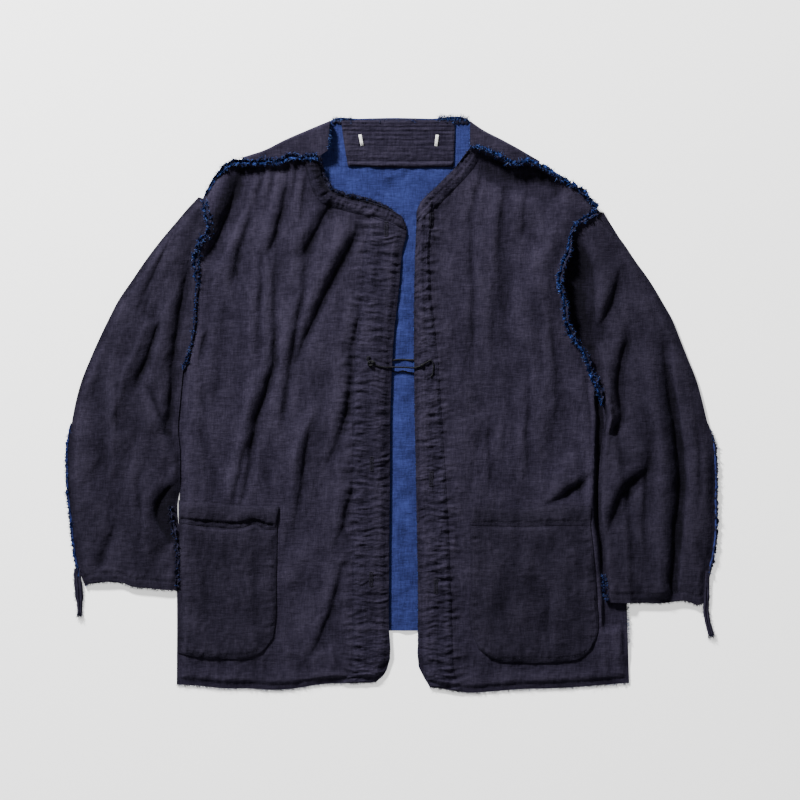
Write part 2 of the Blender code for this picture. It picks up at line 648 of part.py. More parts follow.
def make_ball(name, centre, radius, height, cloth, around=8, rings=5):
    """A knot: a flattened ball of a few facets."""
    points = [(centre[0], centre[1], centre[2] - radius * height)]
    for ring in range(1, rings):
        turn = math.pi * ring / rings
        for k in range(around):
            spin = 2 * math.pi * k / around
            points.append((centre[0] + radius * math.sin(turn) * math.cos(spin),
                           centre[1] + radius * math.sin(turn) * math.sin(spin),
                           centre[2] - radius * height * math.cos(turn)))
    points.append((centre[0], centre[1], centre[2] + radius * height))
    faces = []
    for k in range(around):
        after = (k + 1) % around
        faces.append((0, 1 + after, 1 + k))
        for ring in range(rings - 2):
            low, high = 1 + ring * around, 1 + (ring + 1) * around
            faces.append((low + k, low + after, high + after, high + k))
        top = 1 + (rings - 2) * around
        faces.append((top + k, top + after, len(points) - 1))
    return add_mesh(name, points, faces, cloth)


def make_closure(bands, black):
    """Knot on the right front, cord across to a toggle, and two thin cords in the gap."""
    heights = Heights(bands)
    flatness = 0.7
    stops = []
    for name, (x, y, radius) in (("closure_knot", KNOT), ("closure_toggle", TOGGLE)):
        under = max(heights.at(x + dx * radius, y + dy * radius)
                    for dx in (-1, -0.5, 0, 0.5, 1) for dy in (-1, -0.5, 0, 0.5, 1))
        centre = (x, y, under + CORD_CLEAR + radius * flatness)
        make_ball(name, centre, radius, flatness, black)
        stops.append((x, y, radius))
    start, end = stops
    steps = 18
    first_x, last_x = start[0] + start[2] + GAP, end[0] - end[2] - GAP
    xs = np.linspace(first_x, last_x, steps)
    floor = np.array([heights.at(x, np.interp(x, (first_x, last_x), (start[1], end[1])))
                      for x in xs])
    spread = np.pad(floor, 1, mode="edge")
    floor = np.maximum(np.maximum(spread[:-2], spread[1:-1]), spread[2:])
    across = (xs > FRONT_GAP[0]) & (xs < FRONT_GAP[1])
    floor = np.where(across, np.maximum(floor, CORD_LEVEL), floor)
    route = [(x, np.interp(x, (first_x, last_x), (start[1], end[1])),
              z + CORD_CLEAR + CORD_RADIUS) for x, z in zip(xs, floor)]
    make_tube("closure_cord", route, CORD_RADIUS, black)
    level = LAYER + CLOTH / 2
    for name, y, sag in THIN_CORDS:
        edge = np.array(RIGHT["front_edge"], float)
        left_x = np.interp(-y, -edge[:, 1], edge[:, 0]) + 2 * GAP
        right_x = LEFT["front_edge"][2][0] - 2 * GAP
        xs = np.linspace(left_x, right_x, 9)
        bend = np.sin(np.linspace(0, 2 * math.pi, 9))
        make_tube(name, [(x, y + sag * b, level) for x, b in zip(xs, bend)],
                  THIN_CORD_RADIUS, black)


def make_side(name, side, sign, front_folds, sleeve_folds, cloths):
    """Front, bands, pocket and sleeve of one side."""
    navy, band, blue = cloths
    front = front_surface(side, front_folds, covered=side is LEFT)
    wall(name + "_front", front, inside_of(front, CLOTH), navy)
    neck_row = front[:1] * (1 - NECK_BAND_SHARE) + front[1:2] * NECK_BAND_SHARE
    neck_part = np.concatenate([front[:1], neck_row])[:, SHOULDER_COLUMNS + 2:]
    bands = [wall(name + "_neck_band", moved_out(neck_part, NECK_BAND_GAP + BAND),
                  moved_out(neck_part, NECK_BAND_GAP), band)]
    strip = front[1:, -BAND_COLUMNS:]
    bands.append(wall(name + "_placket", moved_out(strip, GAP + BAND), moved_out(strip, GAP),
                      band))
    pocket = rounded(side["pocket"], side["pocket_corners"], POCKET_RADIUS)
    cut_from_panel(name + "_pocket", front, pocket, BAND, navy)
    cut_from_panel(name + "_pocket_hem", front, side["pocket_hem"], POCKET_HEM, navy)

    plan, floor = sleeve_plan(side, sign)
    under = raised(plan, floor)
    wall(name + "_sleeve_under", moved_out(under, CLOTH), under, navy)
    upper = sleeve_surface(plan, floor, sleeve_folds)
    wall(name + "_sleeve_upper", upper, inside_of(upper, CLOTH), navy)

    make_fringe(name + "_shoulder_fringe", front[0, 1:SHOULDER_COLUMNS + 2], SHOULDER_FRINGE,
                blue)
    armhole = front[1:ARMHOLE_ROWS + 1, 0].copy()
    armhole[:, 2] = np.maximum(armhole[:, 2], upper[1:ARMHOLE_ROWS + 1, 0, 2])
    make_fringe(name + "_armhole_fringe", armhole, ARMHOLE_FRINGE, blue)
    outer_y = upper[:, -1, 1]
    low, high = SLEEVE_FRINGE_SPAN
    make_fringe(name + "_sleeve_fringe", upper[(outer_y > low) & (outer_y < high), -1],
                SLEEVE_FRINGE, blue)
    return bands


def build():
    remove_everything()
    navy = material("navy_double_gauze", NAVY)
    band = material("navy_band", NAVY_BAND)
    blue = material("blue_raw_edge", BLUE)
    black = material("black_cord", BLACK, roughness=0.6)
    make_back(navy)
    bands = make_side("right", RIGHT, -1, RIGHT_FRONT_FOLDS, RIGHT_SLEEVE_FOLDS,
                      (navy, band, blue))
    bands += make_side("left", LEFT, 1, LEFT_FRONT_FOLDS, LEFT_SLEEVE_FOLDS,
                       (navy, band, blue))
    make_patch(band)
    neck = [(x, y + NECK_FRINGE_OUT, 0.0) for x, y in NECK_EDGE]
    make_fringe("neck_fringe", neck, NECK_FRINGE, blue, lean=1.0, height=NECK_STRIP_HEIGHT)
    make_tail("right_cuff_tail", [(-391, -214), (-393, -228), (-391, -245), (-386, -262)],
              (3.0, 2.6, 2.2, 1.2), navy)
    make_tail("left_cuff_tail", [(400, -222), (398, -243), (392, -262), (396, -277),
                                 (402, -291)], (2.6, 3.0, 2.4, 2.0, 1.0), navy)
    make_closure(bands, black)


build()
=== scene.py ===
import math
import random

import bpy
import numpy as np
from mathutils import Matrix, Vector
from mathutils.bvhtree import BVHTree


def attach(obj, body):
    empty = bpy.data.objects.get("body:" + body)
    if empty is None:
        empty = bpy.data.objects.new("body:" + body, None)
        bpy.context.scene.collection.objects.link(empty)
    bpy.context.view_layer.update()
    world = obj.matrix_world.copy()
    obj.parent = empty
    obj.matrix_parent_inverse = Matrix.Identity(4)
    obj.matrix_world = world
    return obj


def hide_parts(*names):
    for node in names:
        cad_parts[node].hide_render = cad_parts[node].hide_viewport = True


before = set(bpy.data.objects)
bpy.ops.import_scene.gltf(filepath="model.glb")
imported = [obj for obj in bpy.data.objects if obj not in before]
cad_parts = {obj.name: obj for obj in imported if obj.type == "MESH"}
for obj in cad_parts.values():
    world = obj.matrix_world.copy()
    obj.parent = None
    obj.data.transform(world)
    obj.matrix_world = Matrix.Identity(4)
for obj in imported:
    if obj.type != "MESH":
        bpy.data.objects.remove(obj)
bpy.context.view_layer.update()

MM = 0.001

# Heights of the layers, as in the part
CLOTH = 1.6
GAP = 0.3
LAYER = CLOTH + GAP
BAND = 1.2
SLACK = 3.4
SHOULDER_ROLL = 3.6
SEAM_RISE = 2 * SHOULDER_ROLL - LAYER - CLOTH
ARMHOLE_RISE = 2.0
CUFF_RISE = 2.2
BAND_EDGE = 0.25 - BAND

# x between which the fronts are open at the closure, and least height of the cords there
OPENING_X = (2, 29)
OPENING_LEVEL = 6.0

# Width over which loose cloth comes down to its seams
EDGE_FALL = 14.0

# y of the back's hem, and where the fronts come down to the surface below it
BACK_HEM_Y = -286.0
HEM_DROP = (-308.0, -330.0)

# The left sleeve lies on the body, and drops beside it
CREASE_IN = 6.0
DROP_IN = 9.0
SIDE_CLEAR = 1.5

# Minus y down the left sleeve, and how far from its inner edge the front starts to fall
COVER_CLEAR = ([-42, -10, 30, 50, 80, 150, 180, 245], [1.0, 8.0, 8.0, 5.5, 2.6, 2.6, 2.2, 2.0])
COVER_FALL = 4.0

# Overlap of a sleeve's inner edge on the body, and its rise there
OVERLAP = 0.8
OVERLAP_RISE = 2.0

# Distance of the stitches above the hem and the cuffs
HEM_UP = 6.5
CUFF_UP = 11

# Share of the creases' heights that is built, and depth of a hollow that gets the full painted shade
CREASE_SHARE = 0.84
PAINTED_SHADE_DEPTH = 2.6

# Least x of the right pocket, and y between which a sleeve's raw outer seam shows
RIGHT_POCKET_X = -266.8
SLEEVE_SEAM_Y = (-215, -24)

# Metres between two threads of the weave
WEAVE_PITCH = 0.0009

# Degrees between faces that are shaded as one surface, and faces of one loose thread
SMOOTH_ANGLE = 50
STRAND_FACES = 11

# Cells of the grids of a front and a sleeve, each about 1.65 mm
SEAM_CELLS = 86
NECK_CELLS = 78
ARMHOLE_CELLS = 146
SIDE_CELLS = 256
PLACKET_CELLS = 28
PLACKET_TOP = 14
SLEEVE_CELLS = 160
SLEEVE_ACROSS = 84

# Outlines of each side as it lies, seen from above. x, y
RIGHT = {
    "armhole": [(-236, 256), (-232, 236), (-229, 217), (-242, 198), (-246, 179), (-244, 148),
        (-246, 123), (-248, 92), (-254, 64), (-261, 42)],
    "side": [(-261, 42), (-264.6, 4), (-267.4, -33), (-264.9, -60), (-264.9, -92), (-264.6, -121),
        (-267.6, -177), (-268, -200), (-268, -286), (-268.5, -351)],
    "back_tip": [(-237, 257), (-230, 269), (-224, 280), (-214, 293), (-198, 304), (-186, 308)],
    "fold": [(-185, 308), (-158, 317), (-134, 329), (-104, 342), (-77, 353)],
    "flap_seam": [(-185, 302), (-158, 303), (-139, 304), (-127, 309), (-114, 308), (-92, 308),
        (-79, 316)],
    "front_seam": [(-236, 256), (-229, 267), (-223, 278), (-212, 291), (-197, 301.6), (-185, 301.6),
        (-158, 302.6), (-139, 303.6), (-127, 308.6), (-114, 307.6), (-92, 307.6)],
    "neckline": [(-92, 307.6), (-88, 290), (-76, 267), (-52, 258), (-27, 252), (-2, 243), (13, 234)],
    "neck_band": [(-109.5, 307.4), (-105, 284), (-90, 253), (-58, 241), (-31, 234.5), (-8, 227),
        (17.4, 218)],
    "front_edge": [(13, 234), (18, 222), (13, 186), (9, 142), (3, 86), (-1, 4), (-2, -96), (-3, -196),
        (-3, -286), (-2, -314), (-8, -336), (-19, -348)],
    "hem": [(-268, -351), (-239, -353), (-208, -356), (-177, -356), (-146, -358), (-121, -356),
        (-89, -351), (-39, -349), (-19, -348)],
    "sleeve_inner": [(-260.2, 42), (-263.8, 4), (-266.6, -33), (-264.1, -60), (-264.1, -94),
        (-264.3, -109), (-266, -117), (-267.2, -125), (-267.4, -135), (-266.8, -143), (-266.2, -150),
        (-266.4, -166), (-266.9, -180), (-267.2, -233)],
    "sleeve_outer": [(-241, 258), (-256, 242), (-267, 229), (-288, 204), (-307, 179), (-324, 154),
        (-341, 129), (-354, 104), (-366, 79), (-377, 54), (-387, 29), (-394, 4), (-399, -21),
        (-403, -46), (-404, -83), (-402, -121), (-399, -146), (-395, -183), (-390, -208), (-383, -228)],
    "cuff": [(-269, -233), (-283, -233), (-302, -231), (-327, -228), (-339, -223), (-358, -223),
        (-374, -224), (-383, -228)],
    "pocket_top": [(-266, -149), (-227, -153.8), (-183, -153.8), (-171, -150), (-157, -156.8),
        (-143, -156.8)],
    "pocket_edge": [(-143, -156.8), (-144, -220), (-145, -270), (-148, -292)],
    "pocket_bottom": [(-266.5, -311), (-240, -317), (-212, -318.5), (-180, -317), (-163, -310),
        (-148, -292)],
    "pocket_side": [(-266, -149), (-266.5, -180), (-266, -246), (-266, -286), (-266.5, -311)],
    "pocket_hem": [(-266, -121), (-232, -122), (-196, -126), (-142, -127)],
}
LEFT = {
    "armhole": [(261, 239), (246, 233), (227, 217), (223, 192), (214, 169), (211, 154), (217, 129),
        (221, 98), (229, 82), (242, 64), (251, 39), (261, 14), (264, -3)],
    "side": [(264, -3), (271, -33), (279, -77), (286, -121), (291, -183), (294, -249), (295, -286),
        (297, -349)],
    "back_tip": [(260, 241), (247, 254), (237, 267), (220, 279), (200, 292), (186, 301)],
    "fold": [(185, 303), (161, 317), (139, 329), (114, 342), (98, 353)],
    "flap_seam": [(185, 296), (167, 301), (154, 297), (146, 301), (136, 307), (123, 313), (111, 318),
        (98, 319)],
    "front_seam": [(261, 239), (248, 251), (241, 261), (229, 270), (217, 276), (204, 284), (185, 295.6),
        (167, 300.6), (154, 296.6), (146, 300.5), (136, 306.5), (123, 312.5), (111, 317.5),
        (98, 318.6)],
    "neckline": [(98, 318.6), (89, 307), (79, 294), (67, 282), (54, 269), (42, 258), (36, 251)],
    "neck_band": [(112, 317.2), (103.5, 296.5), (93, 283.5), (81, 271), (67.5, 257), (52, 242),
        (31.3, 229)],
    "front_edge": [(36, 251), (32, 242), (31, 223), (31, -121), (32, -171), (33, -246), (33, -286),
        (36, -333), (48, -354)],
    "hem": [(297, -349), (261, -352), (236, -354), (198, -356), (161, -357), (136, -359), (92, -361),
        (67, -357), (48, -354)],
    "sleeve_inner": [(264.5, -3), (267, -16), (266, -30), (262.6, -50), (260, -72), (258.4, -98),
        (258.4, -125), (259, -148), (263, -172), (265, -208), (266.6, -233), (267.6, -248)],
    "sleeve_outer": [(265, 239), (276, 217), (287, 204), (304, 179), (322, 154), (337, 129), (351, 104),
        (361, 79), (371, 54), (381, 29), (388, 4), (394, -21), (401, -46), (404, -83), (404, -121),
        (403, -171), (399, -196), (393, -221), (394, -246)],
    "cuff": [(268, -248), (290, -249), (311, -249), (342, -249), (361, -246), (373, -248), (382, -252),
        (394, -246)],
    "pocket_top": [(98, -152), (140, -153), (180, -153), (215, -152), (248, -152)],
    "pocket_edge": [(98, -152), (99, -220), (100, -285), (108, -305)],
    "pocket_bottom": [(250, -306), (235, -318), (212, -322), (160, -323), (128, -320), (108, -305)],
    "pocket_side": [(248, -152), (252, -190), (256, -246), (257, -285), (250, -306)],
    "pocket_hem": [(101, -127), (161, -132), (211, -126), (249, -129)],
}

# Rows of quilting on the neck patch. y, depth, half_width
PATCH_ROWS = [(350, 0.5, 0.9), (346, 0.9, 1), (340.5, 0.9, 1), (335.5, 0.5, 0.9), (329.5, 0.4, 0.9),
    (322.5, 0.5, 0.9), (315, 0.4, 1), (306, 0.4, 1), (303.4, 1, 1)]

# Creases of the back where it shows between the fronts, as for the fronts below
BACK_CREASES = [
    (1.3, 0.8, 6, 0.5, 4, [(16, 42, 0), (22, 32, 1), (30, 16, 0.8)]),
    (1.2, 0.8, 6, 0.5, 4, [(8, 10, 0.3), (18, -2, 1), (28, -14, 0.5)]),
    (1.1, 0.8, 6, 0.5, 4, [(16, 84, 0), (17, 70, 1), (14, 50, 0)]),
    (1.2, 0.8, 6, 0.5, 4, [(6, -60, 0.2), (14, -74, 1), (28, -84, 0.6)]),
    (1.1, 0.8, 6, 0.5, 4, [(9, 132, 0.2), (17, 122, 1), (29, 118, 0.6)]),
    (1, 0.8, 6, 0.5, 4, [(20, -130, 0), (14, -180, 1), (18, -240, 0.2)]),
    (1, 0.8, 7, 0.5, 5, [(30, 292, 0), (12, 284, 1), (-10, 274, 0.2)]),
]

BACK_HEM = [(-267, BACK_HEM_Y), (-60, -284), (60, -284), (295, BACK_HEM_Y)]
NECK_EDGE = [(95, 355), (50, 356), (0, 357), (-40, 356), (-74, 355)]

# Buttonholes of each side. x, y and tilt
BUTTONHOLES = {
    "right": [(-6.5, 218, 0.02), (-24.5, -75, 0.03), (-25.5, -219, 0.02)],
    "left": [(49.5, 229, 0.05), (49.5, -94, 0.03), (55.5, -228, 0.04)],
}

# Raw edge of the inner sleeve seam, where it shows. x, y, z
INNER_SEAMS = {
    "right": [(-275, -128, 4.6), (-276, -138, 4.4), (-273, -152, 4.4), (-269.5, -168, 5.2),
        (-268, -185, 5.6), (-267.6, -205, 5.6), (-268, -229, 5.2)],
    "left": [(264.5, -214, 6.2), (267, -231, 5.8), (268.4, -246, 5.2)],
}

# Soft folds of the loose cloth. height (minus for a hollow), half_width, route
RIGHT_FRONT_FOLDS = [
    (-2.2, 7, [(-224, 268), (-205, 288), (-180, 291), (-140, 292), (-100, 296)]),
    (5, 8, [(-101, 318), (-98, 292), (-88, 271), (-72, 256), (-50, 246)]),
    (2.5, 12, [(-175, 290), (-190, 245), (-203, 200), (-215, 150)]),
    (1.5, 14, [(-110, 280), (-118, 220), (-128, 150)]),
    (2.2, 12, [(-165, 140), (-168, 60), (-178, 0), (-195, -60)]),
    (-1.8, 9, [(-176, 240), (-187, 190), (-194, 140)]),
    (-1.6, 7, [(-164, 150), (-167, 79), (-169, 30)]),
    (2.6, 14, [(-89, 4), (-114, -46), (-133, -96)]),
    (2.5, 12, [(-114, -177), (-129, -233)]),
    (-2.6, 12, [(-71, -246), (-77, -296), (-102, -321)]),
    (2.5, 14, [(-240, 100), (-245, 0), (-240, -100)]),
    (-1.8, 9, [(-205, 140), (-214, 60), (-222, -20)]),
    (-1.5, 6, [(-228, 92), (-233, 70), (-240, 50)]),
    (2, 12, [(-40, 40), (-48, -40), (-62, -100)]),
]
LEFT_FRONT_FOLDS = [
    (-8, 15, [(96, 302), (118, 295), (145, 283), (176, 277), (216, 256)]),
    (2.5, 12, [(206, 236), (196, 200), (190, 160), (196, 110), (206, 70)]),
    (2.4, 12, [(235, -60), (215, -85), (190, -100)]),
    (-1.8, 9, [(161, 223), (176, 208), (192, 192)]),
    (2.4, 20, [(120, 270), (110, 150), (105, 50)]),
    (2.8, 20, [(190, 240), (172, 120), (180, 20), (188, -60)]),
    (-2.2, 12, [(150, 250), (143, 130), (145, 30), (152, -60)]),
    (2.2, 18, [(80, 60), (85, -60), (80, -200)]),
    (-2.2, 10, [(110, -20), (118, -70), (140, -110)]),
    (2.4, 16, [(150, -180), (200, -230), (220, -280)]),
    (-2, 8, [(101, 204), (102, 120), (100, 30)]),
]
RIGHT_SLEEVE_FOLDS = [
    (2.5, 12, [(-278, 150), (-287, 90), (-298, 40), (-310, 0)]),
    (3.5, 14, [(-310, 150), (-335, 90), (-350, 30), (-343, -40), (-347, -96)]),
    (2.4, 8, [(-300, 120), (-322, 60), (-338, 20), (-343, -40), (-347, -120)]),
    (2.5, 14, [(-375, 0), (-380, -90), (-370, -170)]),
    (-2.4, 8, [(-349, -158), (-360, -185), (-371, -211)]),
    (2.5, 12, [(-250, 235), (-262, 200), (-285, 160)]),
    (3, 13, [(-290, -60), (-306, -110), (-310, -160), (-297, -215)]),
]
LEFT_SLEEVE_FOLDS = [
    (-8, 17, [(224, 208), (228, 180), (232, 150), (236, 118), (244, 82), (256, 50)]),
    (-8, 12, [(236, 196), (240, 165), (241, 140), (242, 115), (247, 88)]),
    (3, 12, [(252, 205), (258, 150), (266, 110)]),
    (2.8, 6, [(262, 80), (270, 40), (273, 0), (269, -40), (262, -70)]),
    (3, 14, [(300, 160), (325, 100), (350, 60), (370, 0)]),
    (3, 11, [(318, 90), (324, 30), (334, -30), (338, -90), (334, -160), (330, -235)]),
    (2.5, 13, [(374, -40), (382, -120), (374, -200)]),
    (2.5, 13, [(300, -20), (306, -75)]),
    (2.5, 13, [(300, -130), (306, -190), (298, -240)]),
]

# Creases, where the cloth drops from a ridge and climbs out of the hollow on its right.
# rise, drop, width before, width of the hollow, width after, route running down (x, y, share)
RIGHT_FRONT_CREASES = [
    (5.2, 4, 15, 14, 7, [(-184, 312, 0.5), (-191, 284, 0.7), (-201, 256, 1), (-212, 228, 1.2),
        (-220, 208, 1.2), (-230, 190, 0.8), (-238, 176, 0)]),
    (2.6, 2.6, 9, 1, 6, [(-131, 304, 0.3), (-132, 282, 0.8), (-136, 255, 1), (-142, 225, 1.1),
        (-152, 196, 0.7), (-158, 182, 0)]),
    (3.4, 3, 12, 3, 8, [(-76, 256, 0.3), (-86, 236, 0.8), (-97, 214, 0.9), (-106, 196, 0.6),
        (-114, 180, 0)]),
    (3.2, 2.8, 10, 1.5, 6, [(-110, 204, 0.2), (-110, 170, 0.5), (-112, 140, 0.8), (-118, 112, 1.1),
        (-124, 75, 1.1), (-130, 36, 0.9), (-137, -8, 0.7), (-143, -46, 0)]),
    (4.6, 3.4, 14, 3.5, 7, [(-38, 238, 0.1), (-46, 216, 0.7), (-56, 196, 1), (-70, 168, 1.1),
        (-84, 140, 1.1), (-98, 110, 1), (-108, 86, 0.8), (-117, 64, 0.4), (-122, 50, 0)]),
    (3, 3, 9, 1.5, 6, [(-146, 192, 0.2), (-148, 160, 0.6), (-148, 120, 0.8), (-148, 80, 1),
        (-150, 48, 1.1), (-156, 24, 1.2), (-164, 2, 1.2), (-170, -14, 1), (-174, -30, 0.9),
        (-178, -60, 1.1), (-182, -90, 1), (-188, -120, 0.6), (-192, -136, 0)]),
    (2, 2, 7, 0.5, 5, [(-178, -34, 0), (-186, -66, 0.8), (-193, -96, 1), (-200, -124, 0.6),
        (-202, -134, 0)]),
    (1.6, 1.6, 7, 0.3, 5, [(-163, 200, 0.1), (-164, 160, 0.8), (-166, 110, 0.9), (-168, 70, 0.7),
        (-171, 30, 0)]),
    (3.4, 2.8, 12, 2, 7, [(-36, 148, 0.1), (-42, 110, 0.7), (-48, 84, 0.8), (-52, 60, 0.7),
        (-53, 30, 0.9), (-56, 4, 1.2), (-60, -18, 1.2), (-68, -44, 0.8), (-76, -62, 0.5),
        (-84, -80, 0)]),
    (2.4, 2.2, 10, 1, 7, [(-47, -80, 0), (-53, -110, 0.8), (-59, -140, 1), (-66, -165, 0.8),
        (-78, -192, 0)]),
    (1.9, 1.8, 9, 0.5, 7, [(-174, 254, 0.1), (-182, 222, 0.9), (-190, 195, 1), (-196, 170, 0.8),
        (-204, 138, 0)]),
    (1.4, 1.4, 6, 0.3, 4, [(-161, 300, 0.6), (-164, 276, 1), (-170, 248, 0)]),
    (1.4, 1.4, 6, 0.3, 4, [(-148, 302, 0.5), (-151, 276, 0.9), (-156, 244, 0)]),
    (1.5, 1.4, 6, 0.3, 4, [(-119, 304, 0.6), (-122, 276, 1), (-127, 246, 0)]),
    (1.5, 1.4, 6, 0.3, 4, [(-106, 300, 0.5), (-110, 268, 1), (-112, 238, 0.8), (-116, 214, 0)]),
    (2.4, 2.2, 10, 1, 8, [(-98, -6, 0), (-106, -45, 0.9), (-113, -90, 1), (-119, -130, 0.6),
        (-128, -176, 0)]),
    (2.2, 2, 11, 1, 8, [(-56, -186, 0), (-68, -222, 0.9), (-78, -262, 1), (-96, -302, 0.7),
        (-112, -326, 0)]),
    (1.6, 1.5, 9, 0.5, 7, [(-229, 100, 0), (-236, 76, 0.9), (-241, 52, 0.8), (-236, 22, 0)]),
]
LEFT_FRONT_CREASES = [
    (3.2, 2.6, 12, 2.5, 8, [(254, -82, 0), (240, -94, 0.9), (225, -106, 1.1), (208, -117, 0.9),
        (188, -126, 0)]),
    (1.6, 1.6, 9, 0.5, 8, [(112, 290, 0.7), (104, 262, 1), (98, 230, 0.7), (99, 180, 0.5),
        (100, 120, 0.6), (101, 40, 0)]),
    (1.8, 1.7, 10, 0.5, 8, [(140, 292, 0.4), (137, 250, 1), (134, 200, 0.7), (137, 130, 0.5),
        (140, 60, 0)]),
    (1.6, 1.5, 10, 0.5, 8, [(170, 284, 0.4), (164, 236, 0.9), (160, 190, 0)]),
    (1.5, 1.5, 9, 0.5, 7, [(168, 60, 0), (171, 10, 0.8), (168, -50, 0.9), (172, -108, 0)]),
    (1.5, 1.4, 9, 0.5, 7, [(196, 130, 0), (200, 80, 0.8), (206, 20, 0.8), (204, -40, 0)]),
    (1.7, 1.6, 9, 0.5, 7, [(124, 0, 0), (120, -40, 0.9), (123, -90, 0.7), (118, -122, 0)]),
    (1.9, 1.8, 9, 0.5, 7, [(236, 60, 0), (243, 20, 0.8), (248, -30, 1), (246, -84, 0)]),
]
RIGHT_SLEEVE_CREASES = [
    (4.6, 3.8, 10, 26, 4, [(-270, -98, 0.2), (-283, -110, 0.9), (-294, -128, 1.3), (-295, -142, 1.3),
        (-288, -158, 1.1), (-276, -172, 0.3)]),
    (3.6, 3, 12, 2, 7, [(-256, 170, 0.1), (-260, 150, 0.9), (-267, 110, 1.1), (-273, 70, 1.2),
        (-276, 30, 1.2), (-278, 0, 1.2), (-283, -26, 0.9), (-288, -44, 0)]),
    (3.6, 3.2, 12, 2, 7, [(-290, 106, 0), (-295, 94, 1), (-302, 74, 1.2), (-312, 46, 1.1),
        (-320, 26, 0.6), (-324, 14, 0)]),
    (2.8, 2.6, 10, 1, 6, [(-308, 24, 0), (-300, 4, 0.8), (-292, -12, 1), (-282, -30, 1),
        (-273, -54, 0.8), (-266, -74, 0.3)]),
    (1.4, 1.2, 6, 0.3, 5, [(-344, 30, 0), (-343, 0, 0.9), (-344, -50, 1), (-347, -104, 0)]),
    (2, 1.8, 8, 0.5, 6, [(-345, -140, 0), (-352, -166, 1), (-362, -192, 0.9), (-372, -214, 0.3)]),
    (2, 1.8, 9, 0.5, 7, [(-276, 208, 0.3), (-290, 180, 0.9), (-304, 150, 0.7), (-318, 116, 0)]),
    (1.6, 1.5, 8, 0.5, 6, [(-312, -60, 0), (-318, -100, 0.9), (-314, -150, 0.8), (-320, -196, 0)]),
]
LEFT_SLEEVE_CREASES = [
    (3, 2.8, 12, 2.5, 9, [(286, 178, 0), (280, 150, 0.9), (271, 124, 1.1), (260, 100, 1),
        (247, 74, 0)]),
    (3.4, 3, 11, 4, 6, [(290, 104, 0), (292, 80, 0.9), (286, 58, 1.2), (281, 24, 1.3), (283, 0, 1.3),
        (284, -18, 1.1), (274, -34, 0.9), (264, -44, 0)]),
    (5, 3.6, 18, 7, 3, [(335, 96, 0), (339, 60, 0.6), (343, 20, 0.9), (350, -24, 1.1), (355, -70, 1.2),
        (356, -120, 1.2), (353, -160, 1.1), (349, -200, 1.1), (347, -250, 0.9)]),
    (3.8, 3.2, 12, 9, 8, [(322, -78, 0), (308, -88, 0.9), (294, -102, 1.2), (281, -124, 1.2),
        (271, -150, 0.8), (268, -166, 0.1)]),
    (2.2, 2, 10, 1, 8, [(322, -30, 0), (318, -80, 0.8), (314, -140, 0.8), (316, -200, 0)]),
    (1.8, 1.6, 9, 0.5, 7, [(372, 20, 0), (380, -30, 0.8), (384, -90, 0.8), (380, -150, 0)]),
]

# Painted shade laid on the cloth in the deepest hollows and creases, where shade falls. strength,
# half_width, route
FRONT_PAINTED_SHADE = {
    "right": [
        (1.6, 10, [(-188, 304), (-194, 284), (-205, 260), (-217, 236), (-227, 214), (-238, 192)]),
        (0.7, 7, [(-96, 294), (-90, 270), (-88, 254), (-93, 236), (-99, 217), (-104, 203),
            (-112, 182)]),
    ],
    "left": [
        (0.9, 7, [(98, 302), (106, 298), (122, 292), (136, 286), (160, 281), (186, 278), (212, 267)]),
        (1, 5, [(262, 70), (262, 20), (261, -25), (258.5, -48), (256.5, -75), (255, -120),
            (255.5, -150), (259, -200)]),
    ],
}
NECK_PAINTED_SHADE = {
    "right": [
        (1.4, 4, [(-104, 316), (-90, 288), (-79, 268), (-54, 258.5), (-29, 252.5), (-4, 243.5),
            (24, 228)]),
        (0.7, 9, [(-110, 330), (-99, 296), (-92, 275), (-80, 256), (-56, 242)]),
    ],
    "left": [(0.5, 3, [(106, 330), (89, 306), (67, 281), (42, 257), (26, 244)])],
}
SLEEVE_PAINTED_SHADE = {
    "right": [
        (1.1, 9, [(-262, -92), (-280, -112), (-288, -132), (-286, -150), (-272, -176)]),
        (1, 6, [(-268, -94), (-274, -116), (-276, -140), (-270, -174)]),
        (0.6, 3, [(-287, -25), (-279, -45), (-268, -70), (-263, -84)]),
        (0.5, 2.5, [(-303, 26), (-295, 0), (-287, -26)]),
    ],
    "left": [
        (1.7, 11, [(226, 222), (231, 185), (233, 155), (234, 125), (238, 98), (248, 64)]),
        (0.8, 8, [(326, -72), (304, -88), (288, -106), (277, -128), (268, -156)]),
        (0.6, 8, [(334, 120), (338, 60), (342, 10), (346, -40), (350, -90), (351, -140), (349, -190),
            (345, -280)]),
    ],
}


# Curves and grids

def smoothstep(value):
    """A soft step from 0 to 1, as the value goes from 0 to 1."""
    value = np.clip(value, 0, 1)
    return value * value * (3 - 2 * value)


def bell(distance, half_width, power=2):
    """One at no distance, falling off to nothing on both sides."""
    return np.exp(-np.abs(distance / half_width) ** power)


def unit(vectors):
    """The same vectors, each of them one long."""
    return vectors / (np.linalg.norm(vectors, axis=-1, keepdims=True) + 1e-9)


def spaced(line, count=0, pitch=0.0):
    """Even stations along a route: this many, or a pitch apart."""
    line = np.array(line, float)
    along = np.append(0, np.cumsum(np.linalg.norm(np.diff(line, axis=0), axis=1)))
    wanted = np.linspace(0, along[-1], count or max(3, int(along[-1] / pitch) + 1))
    return np.stack([np.interp(wanted, along, column) for column in line.T], axis=-1)


